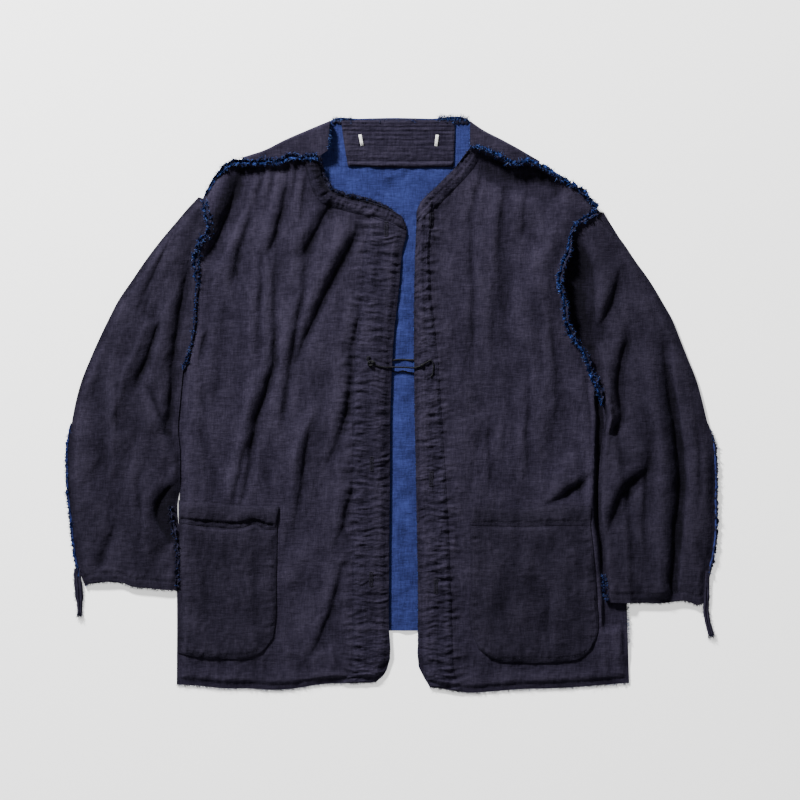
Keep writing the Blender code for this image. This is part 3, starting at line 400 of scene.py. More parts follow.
def curve(knots, count):
    """Even stations on a smooth curve through the knots."""
    knots = np.array(knots, float)
    steps = np.diff(knots, axis=0)
    lengths = np.linalg.norm(steps, axis=1)[:, None]
    slopes = steps / lengths
    inner = (slopes[:-1] * lengths[1:] + slopes[1:] * lengths[:-1]) / (lengths[:-1] + lengths[1:])
    slopes = np.concatenate([slopes[:1], inner, slopes[-1:]])
    t = np.linspace(0, 1, 24, endpoint=False)[:, None]
    fine = [start * (1 + 2 * t) * (1 - t) ** 2 + leave * length * t * (1 - t) ** 2
            + end * t * t * (3 - 2 * t) - arrive * length * t * t * (1 - t)
            for start, end, leave, arrive, length
            in zip(knots, knots[1:], slopes, slopes[1:], lengths)]
    return spaced(np.concatenate([*fine, knots[-1:]]), count)


def patch(top, bottom, side, edge):
    """Coons patch: rows run from top to bottom, columns from side to edge."""
    down = np.linspace(0, 1, len(side))[:, None, None]
    across = np.linspace(0, 1, len(top))[None, :, None]
    ruled = (1 - across) * side[:, None] + across * edge[:, None]
    lofted = (1 - down) * top[None] + down * bottom[None]
    corners = ((1 - down) * ((1 - across) * top[0] + across * top[-1])
               + down * ((1 - across) * bottom[0] + across * bottom[-1]))
    return ruled + lofted - corners


def wander(x, y, seed):
    """Smooth noise between about -1 and 1, one bump to a unit."""
    i, j = np.floor(x), np.floor(y)
    total = 0.0
    for di, dj in ((0, 0), (0, 1), (1, 0), (1, 1)):
        mixed = np.sin((i + di) * 127.1 + (j + dj) * 311.7 + seed * 74.7) * 43758.5453
        turn = 2 * math.pi * (mixed - np.floor(mixed))
        dx, dy = x - i - di, y - j - dj
        weight = smoothstep(1 - np.abs(dx)) * smoothstep(1 - np.abs(dy))
        total = total + (np.cos(turn) * dx + np.sin(turn) * dy) * weight
    return 1.7 * total


def waves(x, y, *rows):
    """Noise of several sizes added up. Each row is strength, width, length and seed."""
    return sum(strength * wander(x / width, y / length, seed)
               for strength, width, length, seed in rows)


def nearest_on(plan, route, reach=45.0):
    """Distance from a route, plus on its right when it runs down, and the length along it.

    Points further away than the reach keep an endless distance.
    """
    x, y = plan[..., 0].ravel(), plan[..., 1].ravel()
    nearest, side, along = np.full(x.shape, np.inf), np.ones(x.shape), np.zeros(x.shape)
    start = 0.0
    route = np.array(route, float)[:, :2].tolist()
    for (ax, ay), (bx, by) in zip(route[:-1], route[1:]):
        span = math.hypot(bx - ax, by - ay)
        near = np.nonzero((np.abs(x - (ax + bx) / 2) < span / 2 + reach)
                          & (np.abs(y - (ay + by) / 2) < span / 2 + reach))[0]
        east, north = x[near] - ax, y[near] - ay
        step_x, step_y = (bx - ax) / span, (by - ay) / span
        t = np.clip(east * step_x + north * step_y, 0, span)
        gap = np.hypot(east - t * step_x, north - t * step_y)
        closer = gap < nearest[near]
        chosen = near[closer]
        nearest[chosen] = gap[closer]
        along[chosen] = start + t[closer]
        side[chosen] = np.where(step_x * north[closer] < step_y * east[closer], -1.0, 1.0)
        start += span
    shape = plan.shape[:-1]
    return (nearest * side).reshape(shape), along.reshape(shape), start


def fold(plan, half_width, route):
    """One along a fold's route, falling off to its sides and its ends."""
    gap, along, length = nearest_on(plan, curve(route, 6 * len(route)), 3 * half_width)
    ends = smoothstep((np.minimum(along, length - along) + 6) / (0.3 * length + 6))
    return ends * (1 + 0.35 * wander(along / 28, half_width, 3)) * bell(gap, half_width, 1.7)


def crease(plan, rise, drop, before, hollow, after, route):
    """A ridge that falls ever more steeply into a hollow on its right, and the climb out."""
    line = curve(route, 6 * len(route))
    gap, along, length = nearest_on(plan, line, 3 * max(before, after) + 12)
    seed = rise * 7 + before + route[0][0]
    steep = 4.5 + 1.15 * (rise + drop)
    gap = np.where(np.isfinite(gap), gap, 200.0)
    gap = gap + 1.4 * wander(along / 22, seed, 5) + 0.85 * steep
    ridge = rise * bell(np.maximum(-gap, 0), before, 1.5)
    climb = bell(np.maximum(gap - steep - hollow, 0), after, 1.5)
    fallen = np.clip(gap / steep, 0, 1) ** 2.6
    share = CREASE_SHARE * np.interp(along, np.linspace(0, length, len(line)), line[:, 2])
    share = share * (1 + 0.25 * wander(along / 26, seed, 6))
    return share * (ridge * (1 - fallen) - drop * climb * fallen)


def puckers(plan, route, pitch, reach, seed):
    """Small gathers square to a stitched route, dying out with the distance from it."""
    gap, along = nearest_on(plan, route)[:2]
    near = bell(gap, reach)
    gap = np.where(np.isfinite(gap), gap, 0)
    wave = wander(along / pitch, gap / (3 * pitch), seed)
    return near * (wave + 0.5 * wander(along / (0.55 * pitch), gap / (2 * pitch), seed + 1))


def groove(plan, route, half_width):
    """One in a line of stitches, falling off to its sides."""
    return bell(nearest_on(plan, route)[0], half_width)


def crinkle(plan, seed, turn=0.0):
    """The uneven surface of washed gauze, its wrinkles longer along the grain."""
    x = plan[..., 0] * math.cos(turn) + plan[..., 1] * math.sin(turn)
    y = plan[..., 1] * math.cos(turn) - plan[..., 0] * math.sin(turn)
    bent = x + 5 * wander(x / 40, y / 60, seed + 5)
    grooved = smoothstep(wander(x / 50, y / 50, seed + 4))
    return (waves(bent, y, (0.9, 17, 54.4, seed), (1.7, 34, 85, seed + 8), (0.42, 9, 28.8, seed + 1))
            + waves(x, y, (0.26, 5.5, 7, seed + 2)) + waves(bent, y, (0.5, 5, 60, seed + 3)) * grooved)


def settle(rise, plan, side=0.0, top=0.0, bottom=0.0, fall=EDGE_FALL, side_fall=None,
           top_fall=None):
    """Bring the rise down to its value along the boundaries; along the edge it is nothing."""
    across = np.linalg.norm(np.diff(plan, axis=1), axis=-1)
    down = np.linalg.norm(np.diff(plan, axis=0), axis=-1)
    from_side = np.pad(np.cumsum(across, axis=1), ((0, 0), (1, 0)))
    from_top = np.pad(np.cumsum(down, axis=0), ((1, 0), (0, 0)))
    for distance, value, width in (
        (from_top[-1:] - from_top, bottom, fall),
        (from_top, top, top_fall or fall),
        (from_side[:, -1:] - from_side, 0.0, fall),
        (from_side, np.reshape(side, (-1, 1)), side_fall or fall),
    ):
        share = smoothstep(distance / width)
        rise = value * (1 - share) + rise * share
    return rise


def relief(plan, folds, creases):
    """Rise of the loose cloth over the panel under it."""
    rise = SLACK + sum(height * fold(plan, *row) for height, *row in folds)
    rise = rise + sum(crease(plan, *row) for row in creases)
    return np.where(rise < 1, np.exp(np.minimum(rise, 1) - 1), rise)


def table_painted_shade(plan, rows):
    """How much painted shade the rows of a table lay on the cloth, along their hollows and creases."""
    return sum(strength * fold(plan, *row) for strength, *row in rows)


def raised(plan, height):
    """Points seen from above, put at this height."""
    return np.concatenate([plan, (height + np.zeros(plan.shape[:-1]))[..., None]], axis=-1)


def moved_out(points, distance):
    """The same points, this much higher."""
    return points + raised(np.zeros(points.shape[:-1] + (2,)), distance)


def inside_of(points, thickness, reach=4):
    """The other face of a wall, kept under every point of the outer face within reach."""
    inner = moved_out(points, -thickness)
    lowest = inner[..., 2]
    for _ in range(2):
        padded = np.pad(lowest, ((reach, reach), (0, 0)), mode="edge")
        lowest = np.min([padded[k:k + len(lowest)] for k in range(2 * reach + 1)], axis=0).T
    inner[1:-1, 1:-1, 2] = lowest[1:-1, 1:-1]
    return inner


def doubled(grid):
    """The same grid with a row between every two of its rows."""
    finer = np.repeat(grid, 2, axis=0)[:-1]
    finer[1::2] = (grid[:-1] + grid[1:]) / 2
    return finer


# Materials

class Shader:
    """A material under construction, with short calls for the nodes that it needs."""

    def __init__(self, name, roughness, specular=0.12, sheen=0.0):
        self.material = bpy.data.materials.new(name)
        self.material.use_nodes = True
        self.tree = self.material.node_tree
        self.inputs = self.tree.nodes["Principled BSDF"].inputs
        self.put(self.inputs, {"Roughness": roughness, "Specular IOR Level": specular,
                               "Sheen Weight": sheen, "Sheen Roughness": 0.5,
                               "Sheen Tint": (0.42, 0.40, 0.72, 1.0)})
        self.place = self.node("TexCoord", "Object")

    def put(self, inputs, values):
        """Set each named input, or link it when its value is another node's output."""
        for name, value in values.items():
            if isinstance(value, bpy.types.NodeSocket):
                self.tree.links.new(value, inputs[name])
            elif value is not None:
                inputs[name].default_value = value

    def node(self, kind, output, values=None, **settings):
        """One output of a new node, with its inputs set or linked."""
        node = self.tree.nodes.new("ShaderNode" + kind)
        for name, value in settings.items():
            setattr(node, name, value)
        self.put(node.inputs, values or {})
        return node.outputs[output]

    def mapped(self, scale, turn):
        return self.node("Mapping", "Vector", {"Scale": scale, "Rotation": (0, 0, turn),
                                               "Vector": self.place})

    def noise(self, scale, detail=2.0, vector=None, roughness=0.5):
        return self.node("TexNoise", "Fac", {"Vector": vector or self.place, "Scale": scale,
                                             "Detail": detail, "Roughness": roughness})

    def crossed(self, scales, detail, narrow, turn, roughness, share):
        """Noise drawn out along the grain and noise drawn out across it, added up."""
        ratios = (1.0, narrow, 1.0), (narrow, 1.0, 1.0)
        return self.total(*((self.noise(scale, detail, self.mapped(ratio, turn), roughness), share)
                            for scale, ratio in zip(scales, ratios)))

    def wave(self, direction, vector, distortion):
        """Bands one weave pitch apart."""
        return self.node("TexWave", "Fac", {
            "Vector": vector, "Scale": 2 * math.pi / (20 * WEAVE_PITCH),
            "Distortion": distortion, "Detail": 1.0}, bands_direction=direction)

    def total(self, *terms):
        """The sum of some sockets, each times its share."""
        total = 0.0
        for socket, share in terms:
            total = self.node("Math", 0, {0: socket, 1: share, 2: total}, operation="MULTIPLY_ADD")
        return total

    def ramp(self, factor, stops):
        colour = self.node("ValToRGB", "Color", {"Fac": factor})
        elements = colour.node.color_ramp.elements
        while len(elements) < len(stops):
            elements.new(0.5)
        for element, (position, shade) in zip(elements, stops):
            element.position = position
            element.color = (*shade, 1.0)
        return colour

    def bump(self, height, distance, strength, under=None):
        return self.node("Bump", "Normal", {"Height": height, "Distance": distance,
                                            "Strength": strength, "Normal": under})

    def finish(self, colour, normal=None):
        self.put(self.inputs, {"Base Color": colour, "Normal": normal})
        return self.material


def gauze(name, colours, degrees=0, crimp=1.0, share=1.0):
    """Loose plain weave with slubs, soft crinkles and a heathered colour, with painted shade in hollows
    and a painted highlight on ridges. A share below one makes a darker copy, as painted shade.
    """
    made = Shader(name, 0.95, 0.06, sheen=0.04)
    turn = math.radians(degrees)
    grain = made.mapped((1, 1, 1), turn)
    weave = made.total((made.wave("X", grain, 0.6), 0.5), (made.wave("Y", grain, 0.6), 0.5))
    slubs = made.crossed((620, 620), 2.0, 0.14, turn, 0.5, 0.5)
    patches = made.noise(30, 5.0, roughness=0.65)
    # Painted shade in hollows and painted highlight on ridges, read from each point
    depth = made.node("Attribute", "Fac", attribute_name="painted_shade_and_highlight")
    tone = made.total((slubs, 0.54), (patches, 0.36), (weave, 0.10), (depth, -0.2))
    dark, middle, light = [[share * value for value in colour] for colour in colours]
    # Colour of the painted shade in the deepest hollows
    painted_shade_colour = [0.4 * value for value in dark]
    colour = made.ramp(tone, [(0.28, painted_shade_colour), (0.39, dark), (0.5, middle), (0.63, light)])
    crinkles = made.crossed((210, 260), 3.0, 0.3, turn, 0.6, 1.0)
    normal = made.bump(crinkles, 0.0012 * crimp, 0.6)
    normal = made.bump(slubs, 0.0005, 0.6, normal)
    return made.finish(colour, made.bump(weave, 0.00022, 0.7, normal))


def frayed(name, *stops):
    """Threads and raw edges, each thread its own colour."""
    made = Shader(name, 0.95, 0.03)
    colour = made.ramp(made.noise(420, roughness=0.7), stops)
    return made.finish(colour, made.bump(made.noise(1400), 0.0004, 0.7))


def plain_thread(name, dark, light, roughness=0.8):
    made = Shader(name, roughness, sheen=0.05)
    colour = made.ramp(made.noise(600), [(0.35, dark), (0.65, light)])
    return made.finish(colour, made.bump(made.wave("DIAGONAL", made.place, 0.2), 0.0002, 0.6))


def make_materials():
    navy = ((0.0075, 0.0061, 0.0127), (0.0137, 0.0114, 0.0215), (0.0239, 0.0201, 0.0347))
    band = ((0.0063, 0.0051, 0.0111), (0.0119, 0.0100, 0.0197), (0.0210, 0.0177, 0.0313))
    blue = ((0.0092, 0.0124, 0.053), (0.0159, 0.0219, 0.090), (0.0245, 0.0349, 0.134))
    return {
        "navy": gauze("navy_gauze", navy),
        # Darker copies of the same navy gauze on the sleeves and pockets, as painted shade
        "navy_right": gauze("navy_gauze_right_sleeve_painted_shade", navy, 16, share=0.75),
        "navy_left": gauze("navy_gauze_left_sleeve_painted_shade", navy, -16, share=0.75),
        "pocket": gauze("navy_gauze_pocket_painted_shade", navy, share=0.70),
        "band": gauze("navy_gauze_band", band, crimp=1.5),
        "blue": gauze("blue_gauze", blue),
        "fray": frayed("frayed_edge", (0.40, (0.005, 0.005, 0.012)), (0.51, (0.008, 0.014, 0.060)),
                       (0.61, (0.016, 0.034, 0.145)), (0.74, (0.05, 0.09, 0.25))),
        "fray_dark": frayed("frayed_dark", (0.35, (0.006, 0.0055, 0.011)),
                            (0.6, (0.014, 0.013, 0.026)), (0.75, (0.011, 0.026, 0.095))),
        "light_thread": plain_thread("pale_blue_thread", (0.014, 0.030, 0.120), (0.06, 0.10, 0.24)),
        "thread": plain_thread("navy_thread", (0.007, 0.006, 0.011), (0.017, 0.015, 0.026)),
        "white": plain_thread("white_thread", (0.55, 0.55, 0.53), (0.8, 0.8, 0.78)),
        "cord": plain_thread("black_cord", (0.0012, 0.0012, 0.0014), (0.004, 0.004, 0.005), 0.6),
    }


MATERIALS = make_materials()


# Meshes

def blurred(values, reach):
    """The mean over the cells within reach along both axes."""
    size = 2 * reach + 1
    for _ in range(2):
        padded = np.pad(values, ((reach + 1, reach), (0, 0)), mode="edge")
        total = np.cumsum(padded, axis=0)
        values = ((total[size:] - total[:-size]) / size).T
    return values


def painted_shade_and_highlight(points):
    """Depth of each point of a grid under its surroundings: painted shade in the hollows, painted
    highlight on the ridges.
    """
    height = points[..., 2]
    depth = (blurred(height, 4) + blurred(height, 9)) / 2 - height
    return np.clip(depth / PAINTED_SHADE_DEPTH, -0.25, 1.0)


def add_mesh(name, points, faces, looks, choice=None, painted_shading=None):
    """An object from points in millimetres; choice is the material number of each face."""
    mesh = bpy.data.meshes.new(name)
    mesh.from_pydata((np.asarray(points, float) * MM).tolist(), [], faces)
    for look in looks:
        mesh.materials.append(MATERIALS[look])
    if choice is not None:
        mesh.polygons.foreach_set("material_index", np.asarray(choice, np.int32))
    if painted_shading is not None:
        # Painted shade and highlight of each point, for the gauze materials
        layer = mesh.attributes.new("painted_shade_and_highlight", "FLOAT", "POINT")
        layer.data.foreach_set("value", np.asarray(painted_shading, np.float32))
    made = bpy.data.objects.new(name, mesh)
    bpy.context.scene.collection.objects.link(made)
    mesh.shade_smooth()
    mesh.set_sharp_from_angle(angle=math.radians(SMOOTH_ANGLE))
    mesh.update()
    return made


def grid_faces(rows, columns, first=0):
    """The four corners of each cell of a grid, its points numbered row by row."""
    index = np.arange(rows * columns).reshape(rows, columns) + first
    corners = index[:-1, :-1], index[:-1, 1:], index[1:, 1:], index[1:, :-1]
    return np.stack([corner.ravel() for corner in corners], axis=-1)


def normals(points):
    """Unit vectors square to a grid, on the side that its faces point to."""
    return unit(np.cross(np.gradient(points, axis=1), np.gradient(points, axis=0)))


def wall_parts(outer, inner, step=4):
    """A closed wall: fine outer face, inner face with cells of several steps, and rim."""
    rows, columns = outer.shape[:2]
    down = sorted({*range(0, rows, step), rows - 1})
    across = sorted({*range(0, columns, step), columns - 1})
    points = np.concatenate([outer.reshape(-1, 3), inner[np.ix_(down, across)].reshape(-1, 3)])
    far = rows * columns
    front = grid_faces(rows, columns).tolist()
    back = grid_faces(len(down), len(across), far)[:, ::-1].tolist()
    ends = ([(0, c) for c in across], [(r, columns - 1) for r in down],
            [(rows - 1, c) for c in across[::-1]], [(r, 0) for r in down[::-1]])
    rim = []
    for side in ends:
        for first, last in zip(side[:-1], side[1:]):
            count = max(abs(last[0] - first[0]), abs(last[1] - first[1])) + 1
            near = np.linspace(first, last, count).astype(int) @ (columns, 1)
            beyond = [far + down.index(r) * len(across) + across.index(c) for r, c in (first, last)]
            rim.append([*beyond, *near.tolist()[::-1]])
    faces = front + back + rim
    if np.sum(normals(outer) * (outer - inner)) < 0:
        faces = [face[::-1] for face in faces]
    return points, faces, np.repeat([0, 1, 2], [len(front), len(back), len(rim)])


def wall(name, outer, inner, looks, shade=0.0):
    """A wall with its painted shade and highlight; looks are those of its outer face, inner face and
    rim.
    """
    points, faces, choice = wall_parts(outer, inner)
    painted_shading = np.zeros(len(points))
    # Painted shade in hollows and highlight on ridges, plus the painted shade of the tables
    painted_shading[:outer[..., 0].size] = np.minimum(painted_shade_and_highlight(outer) + shade, 1.1).ravel()
    return add_mesh(name, points, faces, looks, choice, painted_shading)


def joined(name, parts, looks):
    """One object from several (points, faces, choice)."""
    points, faces, choice = zip(*parts)
    firsts = np.cumsum([0] + [len(part) for part in points])
    moved = [[int(v + first) for v in face] for first, part in zip(firsts, faces) for face in part]
    return add_mesh(name, np.concatenate(points), moved, looks, np.concatenate(choice))


def tube(route, radii, sides=8):
    """Points and faces of a tube; it has one radius, or one at each point of the route."""
    line = np.array(route, float)
    heading = unit(np.gradient(line, axis=0))
    side = unit(np.cross(heading, (0.05, 0.03, 1.0)))
    other = np.cross(heading, side)
    radii = np.broadcast_to(radii, len(line))[:, None]
    turns = [2 * math.pi * k / sides for k in range(sides)]
    rings = [line + radii * (side * math.cos(turn) + other * math.sin(turn)) for turn in turns]
    points = np.stack(rings, axis=1).reshape(-1, 3)
    faces = [tuple(range(sides)), tuple(range(len(points) - sides, len(points)))[::-1]]
    for n in range(0, len(points) - sides, sides):
        for k in range(sides):
            a, b = n + k, n + (k + 1) % sides
            faces.append((a, a + sides, b + sides, b))
    return points, faces, np.zeros(len(faces), int)


def keep(piece, slot, *nodes):
    """The piece rides with the jacket and stands for these nodes."""
    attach(piece, "root")
    if nodes:
        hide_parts(*nodes)
    return piece


def keep_sheet(piece, slot, node, flat, rests_on, **more):
    """Keep a piece of cloth that lies flat on others."""
    keep(piece, slot, node)
    return piece


class Surface:
    """Looks up the height of some pieces, seen from above."""

    def __init__(self, *pieces):
        self.trees = []
        for mesh in [piece.data for piece in pieces]:
            points = np.empty(len(mesh.vertices) * 3, np.float32)
            mesh.vertices.foreach_get("co", points)
            faces = [tuple(face.vertices) for face in mesh.polygons]
            self.trees.append(BVHTree.FromPolygons((points.reshape(-1, 3) / MM).tolist(), faces))

    def at(self, x, y, otherwise=CLOTH):
        hits = [tree.ray_cast(Vector((x, y, 100)), Vector((0, 0, -1)))[0] for tree in self.trees]
        return max([otherwise, *(hit.z for hit in hits if hit is not None)])

    def over(self, plan):
        heights = [self.at(x, y) for x, y in plan.reshape(-1, 2).tolist()]
        return np.array(heights).reshape(plan.shape[:-1])


# Panels

# Share along the shoulder seam and on along the neckline, and the rise there, left and right
NECK_RISE = (
    ([0, 0.34, 0.55, 1.0, 1.5], [0, SEAM_RISE + 0.8, SEAM_RISE + 3.8, SEAM_RISE + 3.4, 0]),
    ([0, 0.38, 0.86, 1.0, 1.12, 1.9], [0, SEAM_RISE, SEAM_RISE, SEAM_RISE + 4.0, 1.0, 0]),
)

# Minus y down the sleeve, and the rise of its inner edge over the body's edge, left and right
INNER_RISE = (
    ([-260, -236, 0, 30], [0, OVERLAP_RISE, OVERLAP_RISE, 0]),
    ([-258, -236, 94, 112, 150, 164, 233],
     [0, OVERLAP_RISE, OVERLAP_RISE, 0, 0, OVERLAP_RISE, OVERLAP_RISE]),
)

# The left front's long fold beside its sleeve, and a thin crease near its lower corner
LEFT_SIDE_FOLD = [(243, 90), (252, 30), (252, -10), (251.5, -40), (250, -80), (249, -125),
                  (249.5, -148), (253, -172), (256, -208), (259, -260)]
LEFT_SIDE_CREASE = [(288, -236), (289, -275), (290, -312)]


def under_sleeve(plan):
    """One where the left sleeve lies on the front, falling to nothing beside it."""
    inner = np.array(LEFT["sleeve_inner"], float)
    x, y = plan[..., 0], plan[..., 1]
    clear = np.interp(-y, *COVER_CLEAR)
    beside = (x - np.interp(-y, -inner[:, 1], inner[:, 0]) + clear + COVER_FALL) / COVER_FALL
    top, bottom = inner[0, 1] + 44, inner[-1, 1] - 26
    along = smoothstep((top - y) / EDGE_FALL + 1) * smoothstep((y - bottom) / EDGE_FALL + 1)
    return smoothstep(beside) * along


def armhole_rise(side):
    """Rise of the armhole seam at its stations: high beside the hollow of the left sleeve."""
    share = np.linspace(0, 1, ARMHOLE_CELLS + 1)
    rise = ARMHOLE_RISE * np.interp(share, [0, 0.08, 0.92, 1], [0, 1, 1, 0])
    return rise + 6.0 * bell(share - 0.5, 0.24, 4) if side is LEFT else rise


def front_grid(side, folds, creases, seed):
    """Outer points of a front on its finest grid, one row for each station down its side."""
    top = np.concatenate([curve(side["front_seam"], SEAM_CELLS + 1),
                          curve(side["neckline"], NECK_CELLS + 1)[1:]])
    down = np.concatenate([curve(side["armhole"], ARMHOLE_CELLS + 1),
                           curve(side["side"], SIDE_CELLS + 1)[1:]])
    rows, columns = len(down), len(top)
    plan = patch(top, curve(side["hem"], columns), down, curve(side["front_edge"], rows))
    top_rise = np.interp(np.arange(columns) / SEAM_CELLS, *NECK_RISE[side is RIGHT])
    hem_line = curve(side["hem"], 60) + (0, HEM_UP)
    loose = relief(plan, folds, creases) + crinkle(plan, seed)
    loose += 1.3 * puckers(plan, plan[:, -PLACKET_CELLS][::6], 6.5, 15, seed + 11)
    loose += 0.6 * puckers(plan, down[ARMHOLE_CELLS::6], 12, 12, seed + 13)
    loose += 0.7 * puckers(plan, hem_line, 9, 9, seed + 15)
    rise = settle(np.maximum(loose, 0.3), plan, np.pad(armhole_rise(side), (0, SIDE_CELLS)),
                  top=top_rise, top_fall=9.0 if side is RIGHT else 6.0)
    if side is LEFT:
        rise = rise + 4.4 * fold(plan, 8, LEFT_SIDE_FOLD)
        rise = rise - 1.6 * groove(plan, LEFT_SIDE_CREASE, 1.6)
        cover = under_sleeve(plan)
        cover[:ARMHOLE_CELLS, 0] = 0
        rise = rise * (1 - cover)
    rise = rise - 0.8 * groove(plan, hem_line, 2.2) * np.minimum(rise, 1.0)
    high, low = HEM_DROP
    base = LAYER * smoothstep((plan[..., 1] - low) / (high - low))
    return raised(plan, base + CLOTH + rise)


def make_front(name, grid):
    # Painted shade from the front's table darkens its hollows
    piece = wall(name + "_front_cloth", grid, inside_of(grid, CLOTH), ("navy", "blue", "navy"),
                 table_painted_shade(grid[..., :2], FRONT_PAINTED_SHADE[name]))
    return keep_sheet(piece, "navy_cloth", name + "_front", (0.30, 0.68), "back", area=0.155)


def make_placket(name, grid, seed):
    """The doubled band down the front edge, gathered by its lines of stitches."""
    strip = doubled(grid[PLACKET_TOP:, -PLACKET_CELLS - 1:])
    stations = np.arange(strip.shape[1])[None, :]
    lines = (2, 11, 19, strip.shape[1] - 4)
    down = strip[..., 1]
    sway = down + 5 * wander(stations / 16, down / 26, seed)
    lift = 0.5 + waves(sway, stations, (0.95, 6.2, 15, seed + 10), (0.5, 3.6, 8, seed + 20))
    lift += waves(down, stations, (0.25, 2.2, 3, seed + 30))
    lift -= 0.35 * sum(bell(stations - line, 0.9) for line in lines)
    lift = settle(lift, strip[..., :2], side=BAND_EDGE, fall=2.5, side_fall=4.0)
    outer = moved_out(strip, GAP + BAND + np.maximum(lift, BAND_EDGE))
    piece = wall(name + "_placket_cloth", outer, moved_out(strip, GAP), ["band"] * 3)
    keep_sheet(piece, "navy_band", name + "_placket", (0.047, 0.62), name + "_front")
    return piece, [strip[:, line, :2] for line in lines]


def make_neck_band(name, side, below, seed):
    """The doubled band along the neckline, with three lines of stitches."""
    across, down = 112, 16
    top, bottom = curve(side["neckline"], across), curve(side["neck_band"], across)
    plan = patch(top, bottom, np.linspace(top[0], bottom[0], down),
                 np.linspace(top[-1], bottom[-1], down))
    if side is LEFT:
        plan = plan[:, ::-1]
    base = Surface(*below).over(plan)
    lines = [plan[2], plan[7], plan[12]]
    lift = 0.9 + 1.3 * puckers(plan, plan[0, ::6], 4.6, 18, seed)
    lift += 0.6 * puckers(plan, plan[0, ::6], 2.4, 18, seed + 7)
    lift -= 0.6 * sum(groove(plan, line[::6], 1.3) for line in lines)
    turned_up = np.interp(np.linspace(0, 1, across), [0, 0.3, 0.42, 0.9, 1], [0, 0, 2.8, 2.8, 0])
    lift = settle(lift, plan, top=turned_up * (side is RIGHT), bottom=BAND_EDGE, fall=4.0,
                  top_fall=3.2)
    outer = raised(plan, base + GAP + BAND + np.maximum(lift, BAND_EDGE))
    # Painted shade from the neck table darkens the band's edge and corner
    piece = wall(name + "_neck_band_cloth", outer, raised(plan, base + GAP), ["band"] * 3,
                 table_painted_shade(plan, NECK_PAINTED_SHADE[name]))
    keep_sheet(piece, "navy_band", name + "_neck_band", (0.018, 0.105 if side is LEFT else 0.155),
               name + "_front")
    return piece, lines


def make_pocket_piece(name, part, plan, front, lift, flat, **area):
    """A layer of cloth on the front, which rises by the lift."""
    base = Surface(front).over(plan)
    node = "%s_%s" % (name, part)
    piece = wall(node + "_cloth", raised(plan, base + GAP + BAND + lift),
                 raised(plan, base + GAP), ["pocket"] * 3)
    return keep_sheet(piece, "navy_cloth", node, flat, name + "_front", **area)


def make_pocket(name, side, front, seed):
    """Patch pocket on the front, with its turned and puffed hem."""
    across, down, hem_rows = 80, 104, 24
    top, upper = curve(side["pocket_top"], across), curve(side["pocket_hem"], across)
    if side is LEFT:
        top, upper = top[::-1], upper[::-1]
    plan = patch(top, curve(side["pocket_bottom"], across), curve(side["pocket_side"], down),
                 curve(side["pocket_edge"], down))
    if side is RIGHT:
        plan[:, :, 0] = np.maximum(plan[:, :, 0], RIGHT_POCKET_X)
    stitched = np.concatenate([plan[:-4:4, 3], plan[-4, 3:-4:4], plan[-4::-4, -4]])
    middle = crinkle(plan, seed) + 0.5 * wander(plan[..., 0] / 40, plan[..., 1] / 30, seed + 9)
    middle += 0.7 * puckers(plan, stitched, 6, 10, seed + 4)
    lift = settle(middle + 1.6, plan, fall=5)
    lift -= 0.7 * groove(plan, stitched, 1.2) * np.minimum(lift, 1)
    pocket = make_pocket_piece(name, "pocket", plan, front, np.maximum(lift, 0), (0.16, 0.18),
                               area=0.024)

    first, last = (np.linspace(upper[k], top[k], hem_rows) + (0, 0.3) for k in (0, -1))
    share = np.linspace(0, 1, hem_rows)
    if side is RIGHT:
        last[:, 0] += 7.0 * share ** 0.5 * (1 - share) ** 1.5
    plan = patch(upper, top + (0, 0.6), first, last)
    share = share[:, None]
    full = 3.6 if side is RIGHT else 1.1
    puff = full * np.sin(math.pi * share ** 0.8) * (1 + 0.3 * wander(plan[..., 0] / 22, share, seed))
    puff += 0.9 * puckers(plan, plan[-4, ::5], 6.5, 12, seed + 5)
    puff -= 0.6 * full * groove(plan, plan[-5, ::5], 1.8)
    lift = settle(np.maximum(puff, 0) + 0.4, plan, bottom=0.4, fall=3)
    hem = make_pocket_piece(name, "pocket_hem", plan, front, lift, (0.15, 0.035))
    return pocket, hem, stitched, plan[-5]


def sleeve_plan(side, sign):
    """Points of a sleeve seen from above, and the height of what it lies on."""
    seam = curve(side["armhole"], ARMHOLE_CELLS + 1)
    inner = np.concatenate([seam - (sign * OVERLAP, 0),
                            curve(side["sleeve_inner"], SLEEVE_CELLS + 1)[1:]])
    outer = curve(side["sleeve_outer"], len(inner))
    across = SLEEVE_ACROSS + 1
    plan = patch(np.linspace(inner[0], outer[0], across), curve(side["cuff"], across), inner, outer)
    if side is RIGHT:
        return plan, 0.0
    body = np.array(side["side"], float)
    body_x = np.interp(-inner[:, 1], -body[:, 1], body[:, 0])
    narrow = 0.2 * np.abs(outer[:, 0] - inner[:, 0])
    crease_x = np.maximum(inner[:, 0] + np.minimum(CREASE_IN, narrow), body_x + SIDE_CLEAR)
    fall = np.minimum(DROP_IN, narrow)[:, None]
    below = smoothstep((np.arange(len(inner)) - len(seam) + 28) / 31)[:, None]
    beside = smoothstep((crease_x[:, None] + fall - plan[..., 0]) / fall)
    return plan, 2 * LAYER * below * beside


def from_ends(count):
    """How many steps each of this many stations is from the nearer end."""
    return np.minimum(np.arange(count), np.arange(count)[::-1])


